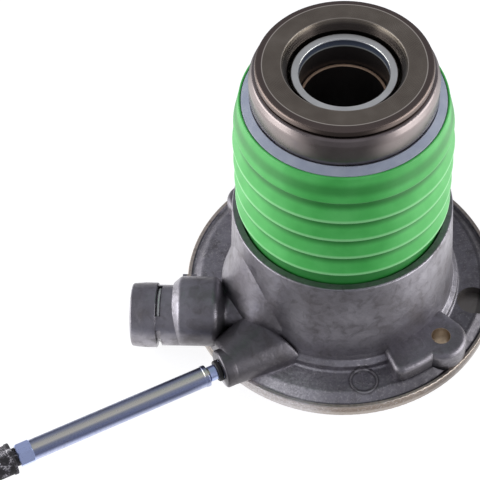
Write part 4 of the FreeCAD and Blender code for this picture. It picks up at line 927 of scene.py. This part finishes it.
coil = mesh_object("preload_coil", shape, coil_steel)
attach(coil, "housing")
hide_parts("preload_spring")
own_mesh(coil)

# %% [markdown]
# ## The studio
# The part lies on a plain white floor under soft light. The floor has a glow of its own for
# the camera, so it reads white and still takes a soft shadow. In mirrored light it glows too,
# most towards the two sides, where a real sheet is lit by the lamps beside it. Two large soft
# boxes stand to the left and right, because a shiny ring shows its roundness by a streak down
# each side, and a dim room fills the rest.

# %% The white paper
paper, tree, shader, place = new_material("white_paper_sweep")
path = add_node(tree, "ShaderNodeLightPath")
paper_tone = add_node(tree, "ShaderNodeMix",
                      {0: path.outputs["Is Glossy Ray"], 6: linear("8C8C90"), 7: linear("48484A")},
                      data_type="RGBA")
print("paper:", paper.name)

# %% The paper's glow
CAMERA_GLOW = 0.86
FRONT_GLOW = 0.10
SIDE_GLOW = 1.5
NEAR_GLOW = 0.9
# The sideways share of the distance at which the glow starts to rise, and where it is full
SIDE_SHARE = (0.42, 0.95)
# The distance from the axis to which the glow near the rim reaches, in metres
NEAR_RIM = (0.07, 0.095)
apart = add_node(tree, "ShaderNodeSeparateXYZ", {"Vector": place})
aside = add_node(tree, "ShaderNodeMath", {0: apart.outputs["X"]}, operation="ABSOLUTE")
far = add_node(tree, "ShaderNodeVectorMath", {0: place}, operation="LENGTH")
sideways = add_node(tree, "ShaderNodeMath",
                    {0: aside.outputs["Value"], 1: far.outputs["Value"]}, operation="DIVIDE")
to_side = add_node(tree, "ShaderNodeMapRange",
                   {"Value": sideways.outputs["Value"], "From Min": SIDE_SHARE[0],
                    "From Max": SIDE_SHARE[1], "To Min": FRONT_GLOW, "To Max": SIDE_GLOW},
                   interpolation_type="SMOOTHSTEP")
close = add_node(tree, "ShaderNodeMapRange",
                 {"Value": far.outputs["Value"], "From Min": NEAR_RIM[0], "From Max": NEAR_RIM[1],
                  "To Min": NEAR_GLOW, "To Max": 0.0}, interpolation_type="SMOOTHSTEP")
sheen = add_node(tree, "ShaderNodeMath",
                 {0: to_side.outputs["Result"], 1: close.outputs["Result"]}, operation="MAXIMUM")
direct = add_node(tree, "ShaderNodeMath",
                  {0: path.outputs["Is Camera Ray"], 1: CAMERA_GLOW}, operation="MULTIPLY")
mirrored = add_node(tree, "ShaderNodeMath",
                    {0: path.outputs["Is Glossy Ray"], 1: sheen.outputs["Value"]},
                    operation="MULTIPLY")
glow = add_node(tree, "ShaderNodeMath",
                {0: direct.outputs["Value"], 1: mirrored.outputs["Value"]}, operation="ADD")
tree.links.new(paper_tone.outputs[2], shader.inputs["Base Color"])
tree.links.new(glow.outputs["Value"], shader.inputs["Emission Strength"])
shader.inputs["Emission Color"].default_value = linear("FFFFFF")
shader.inputs["Roughness"].default_value = 0.9
print("mirrored glow from", FRONT_GLOW, "to", SIDE_GLOW)

# %% Floor
FLOOR_HALF = 3.0
FLOOR_GAP = 0.00005
floor_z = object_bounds()[0][2] - FLOOR_GAP
shape = bmesh.new()
bmesh.ops.create_grid(shape, x_segments=1, y_segments=1, size=FLOOR_HALF,
                      matrix=Matrix.Translation((0, 0, floor_z)))
floor = mesh_object("studio_floor", shape, paper)

# %% World
world = bpy.data.worlds.new("soft_room")
bpy.context.scene.world = world
world.use_nodes = True
tree = world.node_tree
backdrop = tree.nodes["Background"]
path = add_node(tree, "ShaderNodeLightPath")
shade = add_node(tree, "ShaderNodeMix",
                 {0: path.outputs["Is Camera Ray"], 6: linear("A6A7AE"), 7: linear("FFFFFF")},
                 data_type="RGBA")
tree.links.new(shade.outputs[2], backdrop.inputs["Color"])
backdrop.inputs["Strength"].default_value = 1.0
print("world:", world.name)

# %% Lamps
LAMP_AIM = Vector((0.0, 0.0, 0.10))
LAMP_WIDTH = 0.70
LAMP_HEIGHT = 0.40
for name, spot, watts in (("left_box", (-0.60, -0.05, 0.20), 3.6),
                          ("right_box", (0.60, -0.05, 0.20), 3.3)):
    lamp = bpy.data.lights.new(name, "AREA")
    lamp.shape = "RECTANGLE"
    lamp.size = LAMP_WIDTH
    lamp.size_y = LAMP_HEIGHT
    lamp.energy = watts
    stand = bpy.data.objects.new(name, lamp)
    stand.location = spot
    stand.rotation_euler = (LAMP_AIM - Vector(spot)).to_track_quat("-Z", "Y").to_euler()
    bpy.context.scene.collection.objects.link(stand)
print("lamps:", [light.name for light in bpy.data.lights])

# %% [markdown]
# ## The camera
# The photograph looks down at the part by about 52 degrees, from a little to its left, with a
# slight lean of the camera. A long lens keeps the ellipses of the rings even.

# %% Camera
YAW = math.radians(-5.43)
PITCH = math.radians(52.11)
LEAN = math.radians(-3.34)
FOCAL_PIXELS = 1744.4
IMAGE_PIXELS = 480
CAMERA_AT = (0, -0.4095, 0.5573)
look = Vector((math.sin(YAW) * math.cos(PITCH), math.cos(YAW) * math.cos(PITCH),
               -math.sin(PITCH)))
level = Vector((math.cos(YAW), -math.sin(YAW), 0))
upright = level.cross(look)
side = math.cos(LEAN) * level + math.sin(LEAN) * upright
top = -math.sin(LEAN) * level + math.cos(LEAN) * upright
camera_data = bpy.data.cameras.new("photo_camera")
camera_data.sensor_width = 36
camera_data.lens = FOCAL_PIXELS / IMAGE_PIXELS * camera_data.sensor_width
camera_data.clip_start = 0.01
camera = bpy.data.objects.new("photo_camera", camera_data)
view = Matrix((side, top, -look)).transposed().to_4x4()
view.translation = CAMERA_AT
camera.matrix_world = view
bpy.context.scene.collection.objects.link(camera)
bpy.context.scene.camera = camera
bpy.context.scene.view_settings.view_transform = "Standard"
print("lens", round(camera_data.lens, 1))
